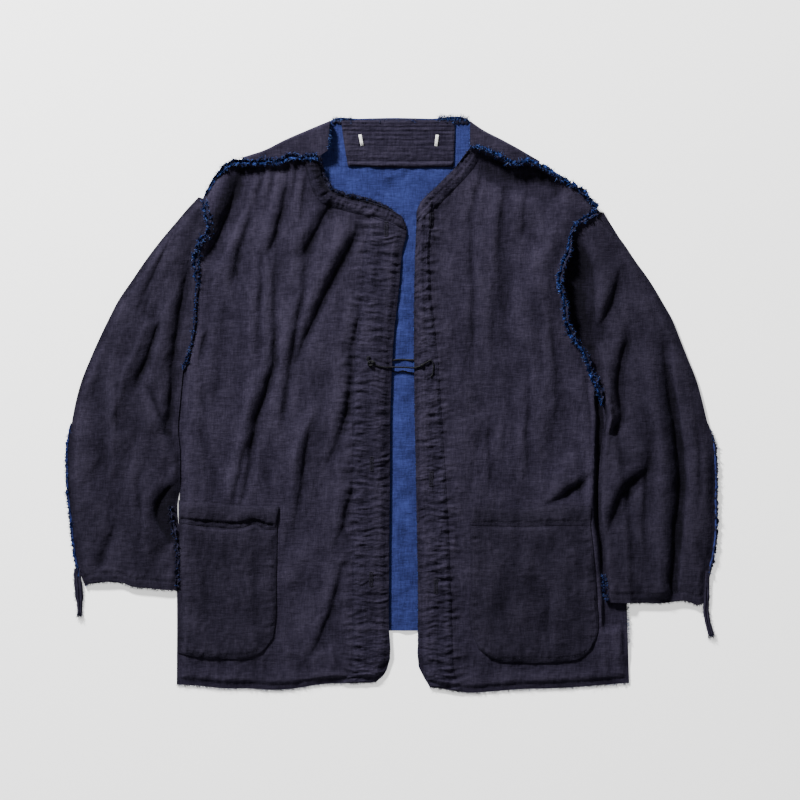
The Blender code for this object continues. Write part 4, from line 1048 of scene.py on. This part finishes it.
def make_sleeve(name, side, sign, folds, creases, seed):
    """The two halves of a sleeve, the upper one loose and creased."""
    plan, floor = sleeve_plan(side, sign)
    rows, columns = plan.shape[:2]
    inner_rise = np.pad(armhole_rise(side), (0, rows - ARMHOLE_CELLS - 1))
    inner_rise += np.interp(-plan[:, 0, 1], *INNER_RISE[side is RIGHT])
    cuff_line = curve(side["cuff"], 50) + (0, CUFF_UP)
    loose = relief(plan, folds, creases) + crinkle(plan, seed, sign * 0.28)
    loose += 0.8 * puckers(plan, cuff_line, 8, 12, seed + 3)
    loose += 0.8 * puckers(plan, plan[::7, 0], 11, 12, seed + 5)
    loose += 0.8 * puckers(plan, plan[::7, -1], 11, 12, seed + 7)
    rise = settle(np.maximum(loose, 0.3), plan, inner_rise, side_fall=8.0,
                  bottom=CUFF_RISE * smoothstep(from_ends(columns) / 7))
    rise = rise - 0.8 * groove(plan, cuff_line, 2.0) * np.minimum(rise, 1.0)
    outer = raised(plan, floor + LAYER + CLOTH + rise)
    face = "navy_" + name
    # Painted shade from the sleeve's table darkens its hollows
    upper = wall(name + "_sleeve_upper_cloth", outer, inside_of(outer, CLOTH),
                 (face, "blue", face), table_painted_shade(plan, SLEEVE_PAINTED_SHADE[name]))
    keep_sheet(upper, "navy_cloth", name + "_sleeve_upper", (0.21, 0.54), name + "_sleeve_under",
               area=0.068)
    under = raised(plan, floor)[::6, ::4]
    under[:, 0, 0] += sign * (OVERLAP + GAP)
    lower = wall(name + "_sleeve_under_cloth", moved_out(under, CLOTH), under,
                 ("blue", face, face))
    keep_sheet(lower, "navy_cloth", name + "_sleeve_under", (0.21, 0.54), "back", area=0.066)
    return upper, outer, cuff_line


def roll_grid(side, stations):
    """Outer and inner points of the back where it rolls over a shoulder, from below to the seam."""
    folds, seams = curve(side["fold"], stations), curve(side["flap_seam"], stations)
    towards = unit(seams - folds)
    centres = folds + towards * SHOULDER_ROLL
    share = np.linspace(0, 1, stations)
    lift = 4.2 * smoothstep(share * 2)
    if side is RIGHT:
        lift = 6.0 * smoothstep((share - 0.66) / 0.34)
    faces = []
    for radius in (SHOULDER_ROLL, SHOULDER_ROLL - CLOTH):
        lines = []
        for turn in np.radians(range(-90, 91, 15)):
            height = SHOULDER_ROLL + radius * math.sin(turn) + lift * (1 + math.sin(turn)) / 2
            lines.append(raised(centres - towards * radius * math.cos(turn), height))
        for along in np.linspace(0, 1, 12)[1:]:
            lines.append(raised(centres + (seams - centres) * along, SHOULDER_ROLL + radius + lift))
        faces.append(np.stack(lines))
    return faces


def make_back():
    """The flat panel and the two flaps that its shoulders fold over."""
    edges, folds = [], []
    for side in (RIGHT, LEFT):
        down = np.array(side["armhole"] + side["side"][1:], float)
        cut = np.interp(-BACK_HEM_Y, -down[:, 1], down[:, 0])
        edges.append([*down[down[:, 1] > BACK_HEM_Y + 1], (cut, BACK_HEM_Y)])
        folds.append(list(roll_grid(side, 70)[0][0, ::9, :2]))
    top = (RIGHT["back_tip"][1:-1] + folds[0] + NECK_EDGE[::-1] + folds[1][::-1]
           + LEFT["back_tip"][1:-1][::-1])
    cells = 150
    plan = patch(curve([edges[0][0], *top, edges[1][0]], cells), curve(BACK_HEM, cells),
                 curve(edges[0], cells), curve(edges[1], cells))
    x, y = plan[..., 0], plan[..., 1]
    ripple = waves(x, y, (0.35, 26, 60, 2), (0.3, 9, 14, 4))
    ripple -= 0.8 * groove(plan, np.array(BACK_HEM, float) + (0, 11.5), 1.8)
    # Wrinkled where it shows: between the fronts, then inside the neck
    shown = bell(x - 16, 11, 4) * smoothstep((215 - y) / 20)
    shown += bell(x - 6, 52, 4) * smoothstep((y - 268) / 14) * smoothstep((348 - y) / 10)
    height = np.clip(CLOTH - 0.25 + ripple * 0.4, 0.5, CLOTH + 0.2)
    wrinkles = 0.9 + waves(x, y, (0.9, 24, 8, 21), (0.9, 10, 19, 22))
    wrinkles += sum(crease(plan, *row) for row in BACK_CREASES)
    height = height + shown * np.maximum(wrinkles, 0)
    points, faces, choice = wall_parts(raised(plan, height), raised(plan, 0.0))
    parts = [(points, faces, np.array([1, 0, 2])[choice])]
    for side in (RIGHT, LEFT):
        outer, inner = roll_grid(side, 100)
        outer[8:, :, 2] += 0.25 * wander(outer[8:, :, 0] / 7, outer[8:, :, 1] / 9, 8)
        parts.append(wall_parts(outer, inner))
    back = joined("back_panel", parts, ("navy", "blue", "navy"))
    keep_sheet(back, "navy_cloth", "back", (0.58, 0.66), "floor", area=0.345)


# Raw edges, threads and stitches

# Width of a raw edge along its route: (place, share)
EVEN = ((0, 1), (1, 1))
SHOULDER_SHARES = {"right": ((0, 0.35), (0.16, 0.6), (0.26, 1.0), (1, 1.0)),
                   "left": ((0, 1), (0.3, 0.9), (0.7, 1.0), (1, 0.8))}
ARMHOLE_SHARES = {
    "right": ((0, 0.9), (0.12, 1.2), (0.42, 1.0), (0.5, 0.45), (0.58, 0.3), (0.86, 0.3),
              (0.93, 0.7), (0.96, 0.6), (1, 0.3)),
    "left": ((0, 1.2), (0.08, 0.8), (0.15, 0.6), (0.22, 0.9), (0.27, 1.2), (0.31, 0.8),
             (0.37, 1.2), (0.45, 0.9), (0.6, 1.2), (0.66, 0.9), (0.8, 1.1), (0.93, 1.2),
             (1, 0.5)),
}
FRAYS = ("fray", "fray_dark", "light_thread")


def along_shares(shares, count):
    """The width at this many even stations of a route."""
    return np.interp(np.linspace(0, 1, count), *zip(*shares))


def out_of(route):
    """Unit vectors square to a route in plan: towards +X of one that runs down."""
    heading = unit(np.gradient(route, axis=0)[:, :2])
    return raised(np.stack([-heading[:, 1], heading[:, 0]], axis=-1), 0.0)


def backed(outer, thick, lowest):
    """A thin wall from its outer points, not below the lowest height."""
    inner = outer + thick * normals(outer)
    inner[..., 2] = np.maximum(inner[..., 2], lowest)
    return wall_parts(outer, inner, 1)


def ply(route, width, lean, seed, shares, lowest):
    """One ragged ply of a seam allowance. lean is its angle from upright, in degrees."""
    pitch = 0.9
    line = spaced(route, pitch=pitch)
    out = out_of(line)
    along = np.arange(len(line)) * pitch
    reach = 0.78 + waves(along, 0, (0.30, 7, 1, seed), (0.34, 1.9, 1, seed + 1))
    reach = width * np.clip(reach, 0.3, 1.35) * np.interp(along / along[-1], *zip(*shares))
    angle = np.radians(lean + waves(along, 0, (38, 8, 1, seed + 2), (16, 3, 1, seed + 3)))
    points = []
    for share in np.linspace(0, 1, 7):
        turn = np.clip(angle * (0.45 + 0.85 * share), -1.5, 1.5)
        place = line + out * (reach * share * np.sin(turn))[:, None]
        place[:, 2] = np.maximum(place[:, 2] + reach * share * np.cos(turn), lowest)
        points.append(place)
    outer = np.stack(points)
    return backed(outer, 0.5, lowest - 0.1), outer[-1]


def strands(place, ahead, lengths, draw, lowest, radius=0.27, steps=3):
    """Loose threads as one set of points and faces: three-sided tubes that curl and thin out."""
    count = len(place)
    ahead = unit(ahead)
    twist = draw.random((count, 3)) - 0.5
    rings = []
    for step in range(steps + 1):
        side = unit(np.cross(ahead, twist))
        other = np.cross(ahead, side)
        size = radius * (1 - 0.5 * step / steps)
        rings += [place + size * (side * math.cos(turn) + other * math.sin(turn))
                  for turn in (0, 2 * math.pi / 3, 4 * math.pi / 3)]
        ahead = unit(ahead + 1.1 * (draw.random((count, 3)) - 0.5) - (0, 0, 0.22))
        place = place + ahead * lengths[:, None] / steps
        place[:, 2] = np.maximum(place[:, 2], lowest)
    points = np.stack(rings, axis=1).reshape(-1, 3)
    one = [(0, 2, 1), tuple(range(3 * steps, 3 * steps + 3))]
    for a in range(3 * steps):
        b = a + 1 if (a + 1) % 3 else a - 2
        one.append((a, b, b + 3, a + 3))
    faces = [tuple(v + len(rings) * n for v in face) for n in range(count) for face in one]
    return points, faces, np.zeros(len(faces), int)


def fray(route, count, length, seed, spread=1.0, up=0.5, out=0.0, lowest=0.25, shares=EVEN):
    """Threads that leave a route at random, most where the shares along it are high."""
    draw = np.random.default_rng(seed)
    line = spaced(route, pitch=0.8)
    total = np.cumsum(along_shares(shares, len(line)))
    chosen = np.interp(draw.random(count), total / total[-1], np.arange(len(line))).astype(int)
    across = out_of(line)[chosen]
    heading = across * (out + spread * 2 * (draw.random((count, 1)) - 0.5))
    heading[:, :2] += 0.9 * (draw.random((count, 2)) - 0.5)
    heading[:, 2] = up * (0.3 + draw.random(count))
    starts = line[chosen] + 0.8 * (draw.random((count, 3)) - 0.5)
    lengths = length * (0.35 + 0.65 * draw.random(count) ** 1.5)
    return strands(starts, heading, lengths, np.random.default_rng(seed + 1), lowest)


def make_threads(name, parts, seed, kinds, looks=FRAYS):
    """Threads as one piece, each with a look drawn from the kinds."""
    draw = random.Random(seed)
    for *_, choice in parts:
        for start in range(0, len(choice), STRAND_FACES):
            choice[start:start + STRAND_FACES] = draw.choice(kinds)
    return keep(joined(name, parts, looks), "blue_edge")


def make_raw_edge(name, route, width, leans, threads, length, seed, *nodes, lowest=0.2,
                  shares=EVEN, dark=False):
    """A seam allowance of two ragged plies, and the threads that fray from them."""
    plies, rims = zip(*(ply(route, width, lean, seed + 10 * k, shares, lowest)
                        for k, lean in enumerate(leans)))
    face = FRAYS[dark]
    edge = joined(name + "_cloth", plies, (face, "fray_dark", face))
    keep(edge, "blue_edge", *nodes)
    parts = [fray(rim, threads // len(rims), length, seed + 3 + k, lowest=lowest, shares=shares)
             for k, rim in enumerate(rims)]
    parts.append(fray(route, threads // 2, 0.7 * length, seed + 5, up=0.8, lowest=lowest,
                      shares=shares))
    loose = make_threads(name + "_threads", parts, seed, (0, 1, 1, 1) if dark else (0, 0, 0, 1, 1, 2))


def make_stitches(name, routes, surface, pitch=3.2, length=2.1, radius=0.32):
    """Short stitches along the routes, half sunk in the cloth."""
    points, faces = [], []
    for route in routes:
        line = spaced(raised(np.asarray(route)[:, :2], 0.0), pitch=pitch)
        for centre, ahead in zip(line, unit(np.gradient(line, axis=0))):
            places = [centre + ahead * length * k for k in (-0.5, 0.5, 0)]
            start, end, middle = (p + (0, 0, surface.at(p[0], p[1])) for p in places)
            out = radius * np.array([-ahead[1], ahead[0], 0.0])
            first = len(points)
            points += [start, end, middle + out, middle - out,
                       middle + (0, 0, radius), middle - (0, 0, radius)]
            for a, b in ((2, 4), (4, 3), (3, 5), (5, 2)):
                faces += [(first, first + a, first + b), (first + 1, first + b, first + a)]
    keep(add_mesh(name, np.array(points), faces, ["thread"]), "navy_band")


def make_buttonholes(name, places, surface):
    """Hand-sewn slits: a row of short bars down each side and one across each end."""
    length, half, bars = 17.0, 1.5, 16
    parts = []

    def add_bar(x, y, z, reach, ends, rise, radius):
        parts.append(tube([(x - reach, y, z + ends), (x, y, z + rise), (x + reach, y, z + ends)],
                          (0.30, radius, 0.30), 5))

    for x, y, tilt in places:
        for down in np.linspace(-0.5, 0.5, bars) * length:
            for beside in (-0.95 * half, 0.95 * half):
                place = (x + tilt * down + beside, y + down)
                add_bar(*place, surface.at(*place), 0.75 * half, 0.15, 0.55, 0.36)
        for down in (-0.5 * length, 0.5 * length):
            z = surface.at(x, y + 1.03 * down)
            add_bar(x + tilt * down, y + 1.03 * down, z, 1.8 * half, 0.2, 0.6, 0.45)
    keep(joined(name, parts, ["thread"]), "navy_band")


def make_patch():
    """Cloth rectangle inside the back neck, quilted in rows, with a rolled lower edge."""
    across, down = 110, 60
    plan = patch(curve([(-63, 353.5), (8, 354), (79, 353.5)], across),
                 curve([(-54.5, 296.5), (10, 294.5), (77.5, 295.5)], across),
                 curve([(-63, 353.5), (-60, 330), (-54.5, 296.5)], down),
                 curve([(79, 353.5), (78.5, 325), (77.5, 295.5)], down))
    x, y = plan[..., 0], plan[..., 1]
    rise = 0.9 + waves(x, y, (0.35, 7, 5, 61), (0.3, 24, 3, 62))
    bowed = y + 0.8 * np.sin((x + 63) / 142 * math.pi)
    rise -= sum(depth * bell(bowed - row, half) for row, depth, half in PATCH_ROWS)
    rise += 1.5 * bell(bowed - 299.5, 3.0)
    rise = settle(np.maximum(rise, 0.1), plan, bottom=0.3, fall=2.0)
    made = wall("neck_patch_cloth", raised(plan, LAYER + BAND + rise), raised(plan, LAYER - 0.2),
                ["band"] * 3)
    keep_sheet(made, "navy_band", "neck_patch", (0.15, 0.068), "back")
    surface = Surface(made)
    parts = []
    for x, y, drift in ((-38.0, 329.0, 1.4), (56.4, 328.5, -0.7)):
        for place in np.arange(-2.5, 3):
            high = 0.9 if abs(place) < 1.6 else 0.6
            stations = []
            for share in np.linspace(-0.5, 0.5, 7):
                px, py = x + 0.62 * place - drift * share * 2, y + 14 * share
                arch = 0.5 + 1.3 * math.cos(math.pi * share) ** 0.5
                stations.append((px, py, surface.at(px, py) + arch * high))
            parts.append(tube(stations, (0.30, 0.38, 0.4, 0.4, 0.4, 0.38, 0.30), 6))
    keep(joined("neck_patch_tacks", parts, ["white"]), "navy_band")


def make_tails():
    """The rolled ends of the seam allowances below the cuffs, with their frayed threads."""
    for name, route, halves, drift in (
        ("right", [(-392, -206), (-392.5, -215), (-391, -233), (-390, -247), (-389.5, -262)],
         (4.2, 5.6, 4.6, 3.0), 0.4),
        ("left", [(395, -209), (394.2, -224), (393.4, -245), (393, -259), (395, -272),
                  (399.5, -288)], (2.6, 3.1, 4.2, 3.6), 1.3),
    ):
        line = curve(route, 60)
        out = out_of(line)[:, :2]
        down = np.linspace(0, 1, len(line))
        half = np.interp(down, np.linspace(0, 1, len(halves)), halves)
        half = half * (1 + 0.14 * wander(line[:, 1] / 7, 0, 94))
        lean = 0.5 * np.sin(5.0 * down + drift)
        outer = []
        for share in np.linspace(-1, 1, 15):
            rolls = (1 - 0.4 * abs(share)) * np.cos(2.3 * math.pi * share + 2.6 * down + drift)
            height = 3.4 + 0.5 * share * half * np.sin(lean) + 1.0 * rolls - 1.3 * share ** 2
            outer.append(raised(line + out * (share * half * np.cos(lean))[:, None],
                                np.maximum(height, 0.9)))
        outer = np.stack(outer)
        spine = raised(line - out * (0.55 * half)[:, None], 3.0)
        parts = [backed(outer, 0.6, 0.3), tube(spine, np.linspace(1.7, 0.9, len(line)), 7)]
        keep(joined(name + "_cuff_tail_cloth", parts, ["band"] * 3), "navy_cloth",
             name + "_cuff_tail")
        parts = [fray(outer[0], 90, 4, 91), fray(outer[-1], 90, 4, 92),
                 fray(outer[:, -1], 90, 8, 93, spread=0.4, up=0.1, out=-1.2)]
        make_threads(name + "_cuff_tail_threads", parts, 7, (0, 1, 1, 1, 1))


def make_closure(surface):
    """Curled knot on the right front, cord across to a bead and a hooked loop, two thin cords."""
    def add_cord(name, node, *tubes):
        keep(joined(name, tubes, ["cord"]), "black_cord", node)

    def laid(points, count):
        """A route on the cloth, which crosses the opening between the fronts level with them."""
        line = curve(points, count)
        heights = [max(*(surface.at(x + dx, y, 0.0) for dx in (-2.0, 0.0, 2.0)),
                       OPENING_LEVEL if OPENING_X[0] < x < OPENING_X[1] else 0.0)
                   for x, y in line]
        heights = np.convolve(np.pad(heights, 2, mode="edge"), np.ones(5) / 5, mode="valid")
        return raised(line, heights + 1.0)

    x, y = -25.0, 50.0
    turns = np.linspace(0, 4.6 * math.pi, 60)
    z = surface.at(x, y)
    radius = 1.6 + 2.2 * (0.5 + 0.5 * np.cos(turns * 0.7))
    curl = np.column_stack([x + 1.15 * radius * np.cos(turns), y + 0.9 * radius * np.sin(turns),
                            z + 1.6 + 1.3 * np.sin(turns * 1.5 + 0.6) ** 2 + 0.012 * turns])
    tip = [(x - 3, y + 3, z + 1.5), (x - 5.5, y + 5.5, z + 1.6), (x - 4.5, y + 8, z + 1.4),
           (x - 1.5, y + 8.4, z + 1.2)]
    add_cord("closure_knot_cord", "closure_knot", tube(curl, 0.95), tube(curve(tip, 16), 0.8))
    main = [(-23, 49), (-16, 46.5), (-8, 45), (2, 45.4), (16, 45.2), (28, 44.6), (36, 46.4)]
    add_cord("closure_cord_line", "closure_cord", tube(laid(main, 60), 1.0))
    hook = [(38.5, 48.5), (44, 51.5), (49.5, 54), (52, 50), (52, 42), (51, 36), (48.5, 33.5)]
    bead = np.array([(35.6, 46.6), (36.8, 47), (38.2, 47.6), (39.6, 48.2), (40.8, 48.7)])
    bead = raised(bead, surface.at(38.2, 47.5) + 1.7)
    add_cord("closure_toggle_cord", "closure_toggle", tube(laid(hook, 40), 0.8),
             tube(bead, (0.8, 1.9, 2.3, 1.9, 0.8), 10))
    level = LAYER + CLOTH / 2 + 0.35 * np.sin(np.linspace(0, 9, 30))
    for name, points, radius in (
        ("upper", [(1.2, 54.0), (10, 54.7), (20, 54.4), (31, 54.2)], 1.25),
        ("lower", [(1.0, 40.5), (8, 39.4), (14, 40.6), (22, 38.6), (31, 37.6)], 0.85),
    ):
        add_cord("closure_%s_line" % name, "closure_cord_" + name,
                 tube(raised(curve(points, 30), level), radius))


# The stage

def make_stage():
    bpy.ops.mesh.primitive_plane_add(size=30, location=(0, 0, -0.0004))
    floor = bpy.context.object
    floor.name = "floor"
    made = Shader("pale_floor", 0.7)
    made.put(made.inputs, {"Emission Color": (1.0, 1.0, 1.0, 1.0), "Emission Strength": 0.7})
    floor.data.materials.append(made.finish((0.96, 0.96, 0.955, 1.0)))


def add_area(name, place, size, power):
    """A round lamp that points at the jacket's middle."""
    data = bpy.data.lights.new(name, "AREA")
    data.shape = "DISK"
    data.size = size
    data.energy = power
    lamp = bpy.data.objects.new(name, data)
    lamp.location = place
    lamp.rotation_euler = (-Vector(place)).to_track_quat("-Z", "Y").to_euler()
    bpy.context.scene.collection.objects.link(lamp)


def make_lights():
    add_area("key", (-1.7, 2.98, 1.79), 0.54, 610)
    add_area("fill", (0.8, -0.6, 3.4), 2.6, 8)
    world = bpy.data.worlds.new("studio")
    world.use_nodes = True
    background = world.node_tree.nodes["Background"].inputs
    background["Color"].default_value = (1, 1, 1, 1)
    background["Strength"].default_value = 0.33
    bpy.context.scene.world = world


def make_camera():
    """Straight above: 800 pixels span one metre of the surface."""
    centre, height, span = (0.0106, 0.0044), 5.0, 1.0
    data = bpy.data.cameras.new("camera")
    data.sensor_width = 36.0
    data.lens = data.sensor_width * height / span
    data.clip_start, data.clip_end = 0.1, 50
    camera = bpy.data.objects.new("camera", data)
    camera.location = (*centre, height)
    bpy.context.scene.collection.objects.link(camera)
    bpy.context.scene.camera = camera


# The two sides

def make_edges(name, side, sign, grid, outer, seed):
    """The raw seams of a side, the threads of its hems and its turned edges."""
    shoulder = moved_out(grid[0, 3:SEAM_CELLS + 1], 0.4)
    make_raw_edge(name + "_shoulder_edge", shoulder, 7.0, (-30, 25) if side is RIGHT else (-45, 5),
                  560, 5.5, seed + 5, name + "_shoulder_fringe", shares=SHOULDER_SHARES[name])
    armhole = outer[2:ARMHOLE_CELLS + 1, 0].copy()
    armhole[:, 2] = np.maximum(armhole[:, 2], grid[2:ARMHOLE_CELLS + 1, 0, 2]) + 0.4
    make_raw_edge(name + "_armhole_edge", armhole, 6.5, (-40, 20) if side is LEFT else (-15, 45),
                  560, 5.5, seed + 6, name + "_armhole_fringe", shares=ARMHOLE_SHARES[name])
    if side is RIGHT:
        turned = moved_out(grid[0, SEAM_CELLS:SEAM_CELLS + 72], 0.5)
        make_raw_edge("right_neckline_edge", turned, 5.0, (40, 75), 340, 4.0, seed + 9,
                      shares=((0, 1.0), (0.7, 1.0), (1, 0.4)), dark=True)
    make_raw_edge(name + "_inner_edge", curve(INNER_SEAMS[name], 60), 5.0, (-20, 30), 200, 4.0,
                  seed + 8, dark=side is RIGHT)
    edges = (("hem", 120, 1.4, 560, 0.9), ("cuff", 60, 2.6, 320, -0.9),
             ("front_edge", 240, 3.4, 150, 0.0), ("neckline", 90, 4.2, 150, 0.0))
    fuzz = [fray(raised(curve(side[edge], count), height), threads, 4.0, seed + 20 + k,
                 spread=0.6, up=0.2, out=out * sign)
            for k, (edge, count, height, threads, out) in enumerate(edges)]
    make_threads(name + "_edge_fuzz", fuzz, seed, (0, 0, 1, 2), ("thread", "fray", "fray_dark"))

    piping = raised(curve(side["front_edge"], 260)[6:], 0.0)
    piping[:, 0] += 0.5 * sign + 0.7 * wander(piping[:, 1] / 9, 0, seed + 9)
    piping[:, 2] = np.maximum(0.8, LAYER * smoothstep((piping[:, 1] + 330) / 22) + 0.4)
    keep(joined(name + "_inside_edge", [tube(piping, 0.75, 6)], ["fray"]), "blue_edge")

    low = [point for point in outer[:, -1] if SLEEVE_SEAM_Y[0] < point[1] < SLEEVE_SEAM_Y[1]]
    low = np.array(low)
    make_raw_edge(name + "_sleeve_edge", moved_out(low, -1.4), 5.0, (sign * 70, sign * 35), 420, 4.0,
                  seed + 7, name + "_sleeve_fringe", shares=((0, 0.1), (0.14, 0.9), (1, 1)))
    # The under half's cloth, turned out below the elbow
    rim = spaced(low[low[:, 1] < (-45 if side is LEFT else -20)], pitch=1.6)
    rim[:, 0] += sign * 1.2 + 0.6 * wander(rim[:, 1] / 7, 0, seed + 12)
    radii = 0.4 + (0.9 if side is LEFT else 0.5) * smoothstep(from_ends(len(rim)) / 9)
    keep(joined(name + "_sleeve_turned_edge", [tube(rim, radii, 7)], ["blue"]), "blue_edge")


def make_side(name, side, sign, front_tables, sleeve_tables, seed):
    """Every piece of a side. The sign is that of its x."""
    grid = front_grid(side, *front_tables, seed)
    front = make_front(name, grid)
    placket, placket_lines = make_placket(name, grid, seed + 1)
    band, neck_lines = make_neck_band(name, side, [front, placket], seed + 2)
    pocket, hem, pocket_line, hem_line = make_pocket(name, side, front, seed + 3)
    sleeve, outer, cuff_line = make_sleeve(name, side, sign, *sleeve_tables, seed + 4)
    surface = Surface(front, placket, band, pocket, hem, sleeve)
    bottom = curve(side["hem"], 60) + (0, HEM_UP)
    make_stitches(name + "_stitches", [*placket_lines, *neck_lines, pocket_line, hem_line,
                                       bottom, cuff_line[3:-3]], surface)
    make_buttonholes(name + "_buttonholes", BUTTONHOLES[name], surface)
    make_edges(name, side, sign, grid, outer, seed)
    return surface


def make_neck_edge():
    """The fringe at the back neck, and the threads of the flaps' ends and the left side."""
    neck = raised(curve(NECK_EDGE, 60) - (0, 1.5), 1.0)
    make_raw_edge("neck_edge", neck, 5.0, (75, 55), 200, 3.5, 77, "neck_fringe", lowest=0.3)
    flap_right = [(-76.5, 352, 5), (-77, 345, 9.5), (-77.5, 335, 12.5), (-78, 325, 13.2),
                  (-79, 317, 13.4)]
    flap_left = [(98, 352, 5), (98, 345, 7.5), (98, 335, 9.5), (98, 321, 11.3)]
    side_left = [(294.5, -251, 2.5), (295.5, -285, 2.5), (296, -302, 2.5)]
    tufts = [fray(neck[:14] + (0, 2.5, 1.5), 300, 8.0, 78, spread=1.0, up=0.5),
             fray(neck[-9:] + (0, 1.5, 1), 130, 6.0, 79, spread=0.8, up=0.4),
             fray(flap_right, 190, 4.5, 80, spread=0.8, up=0.3),
             fray(flap_left, 50, 3.0, 81, spread=0.8, up=0.3),
             fray(side_left, 130, 4.0, 82, spread=0.6, up=0.3, out=0.6)]
    make_threads("neck_edge_tufts", tufts, 8, (0, 0, 1, 2))


def build():
    make_camera()
    make_stage()
    make_lights()
    make_back()
    right = make_side("right", RIGHT, -1, (RIGHT_FRONT_FOLDS, RIGHT_FRONT_CREASES),
                      (RIGHT_SLEEVE_FOLDS, RIGHT_SLEEVE_CREASES), 10)
    left = make_side("left", LEFT, 1, (LEFT_FRONT_FOLDS, LEFT_FRONT_CREASES),
                     (LEFT_SLEEVE_FOLDS, LEFT_SLEEVE_CREASES), 40)
    make_patch()
    make_neck_edge()
    make_tails()
    both = Surface()
    both.trees = right.trees + left.trees
    make_closure(both)


build()
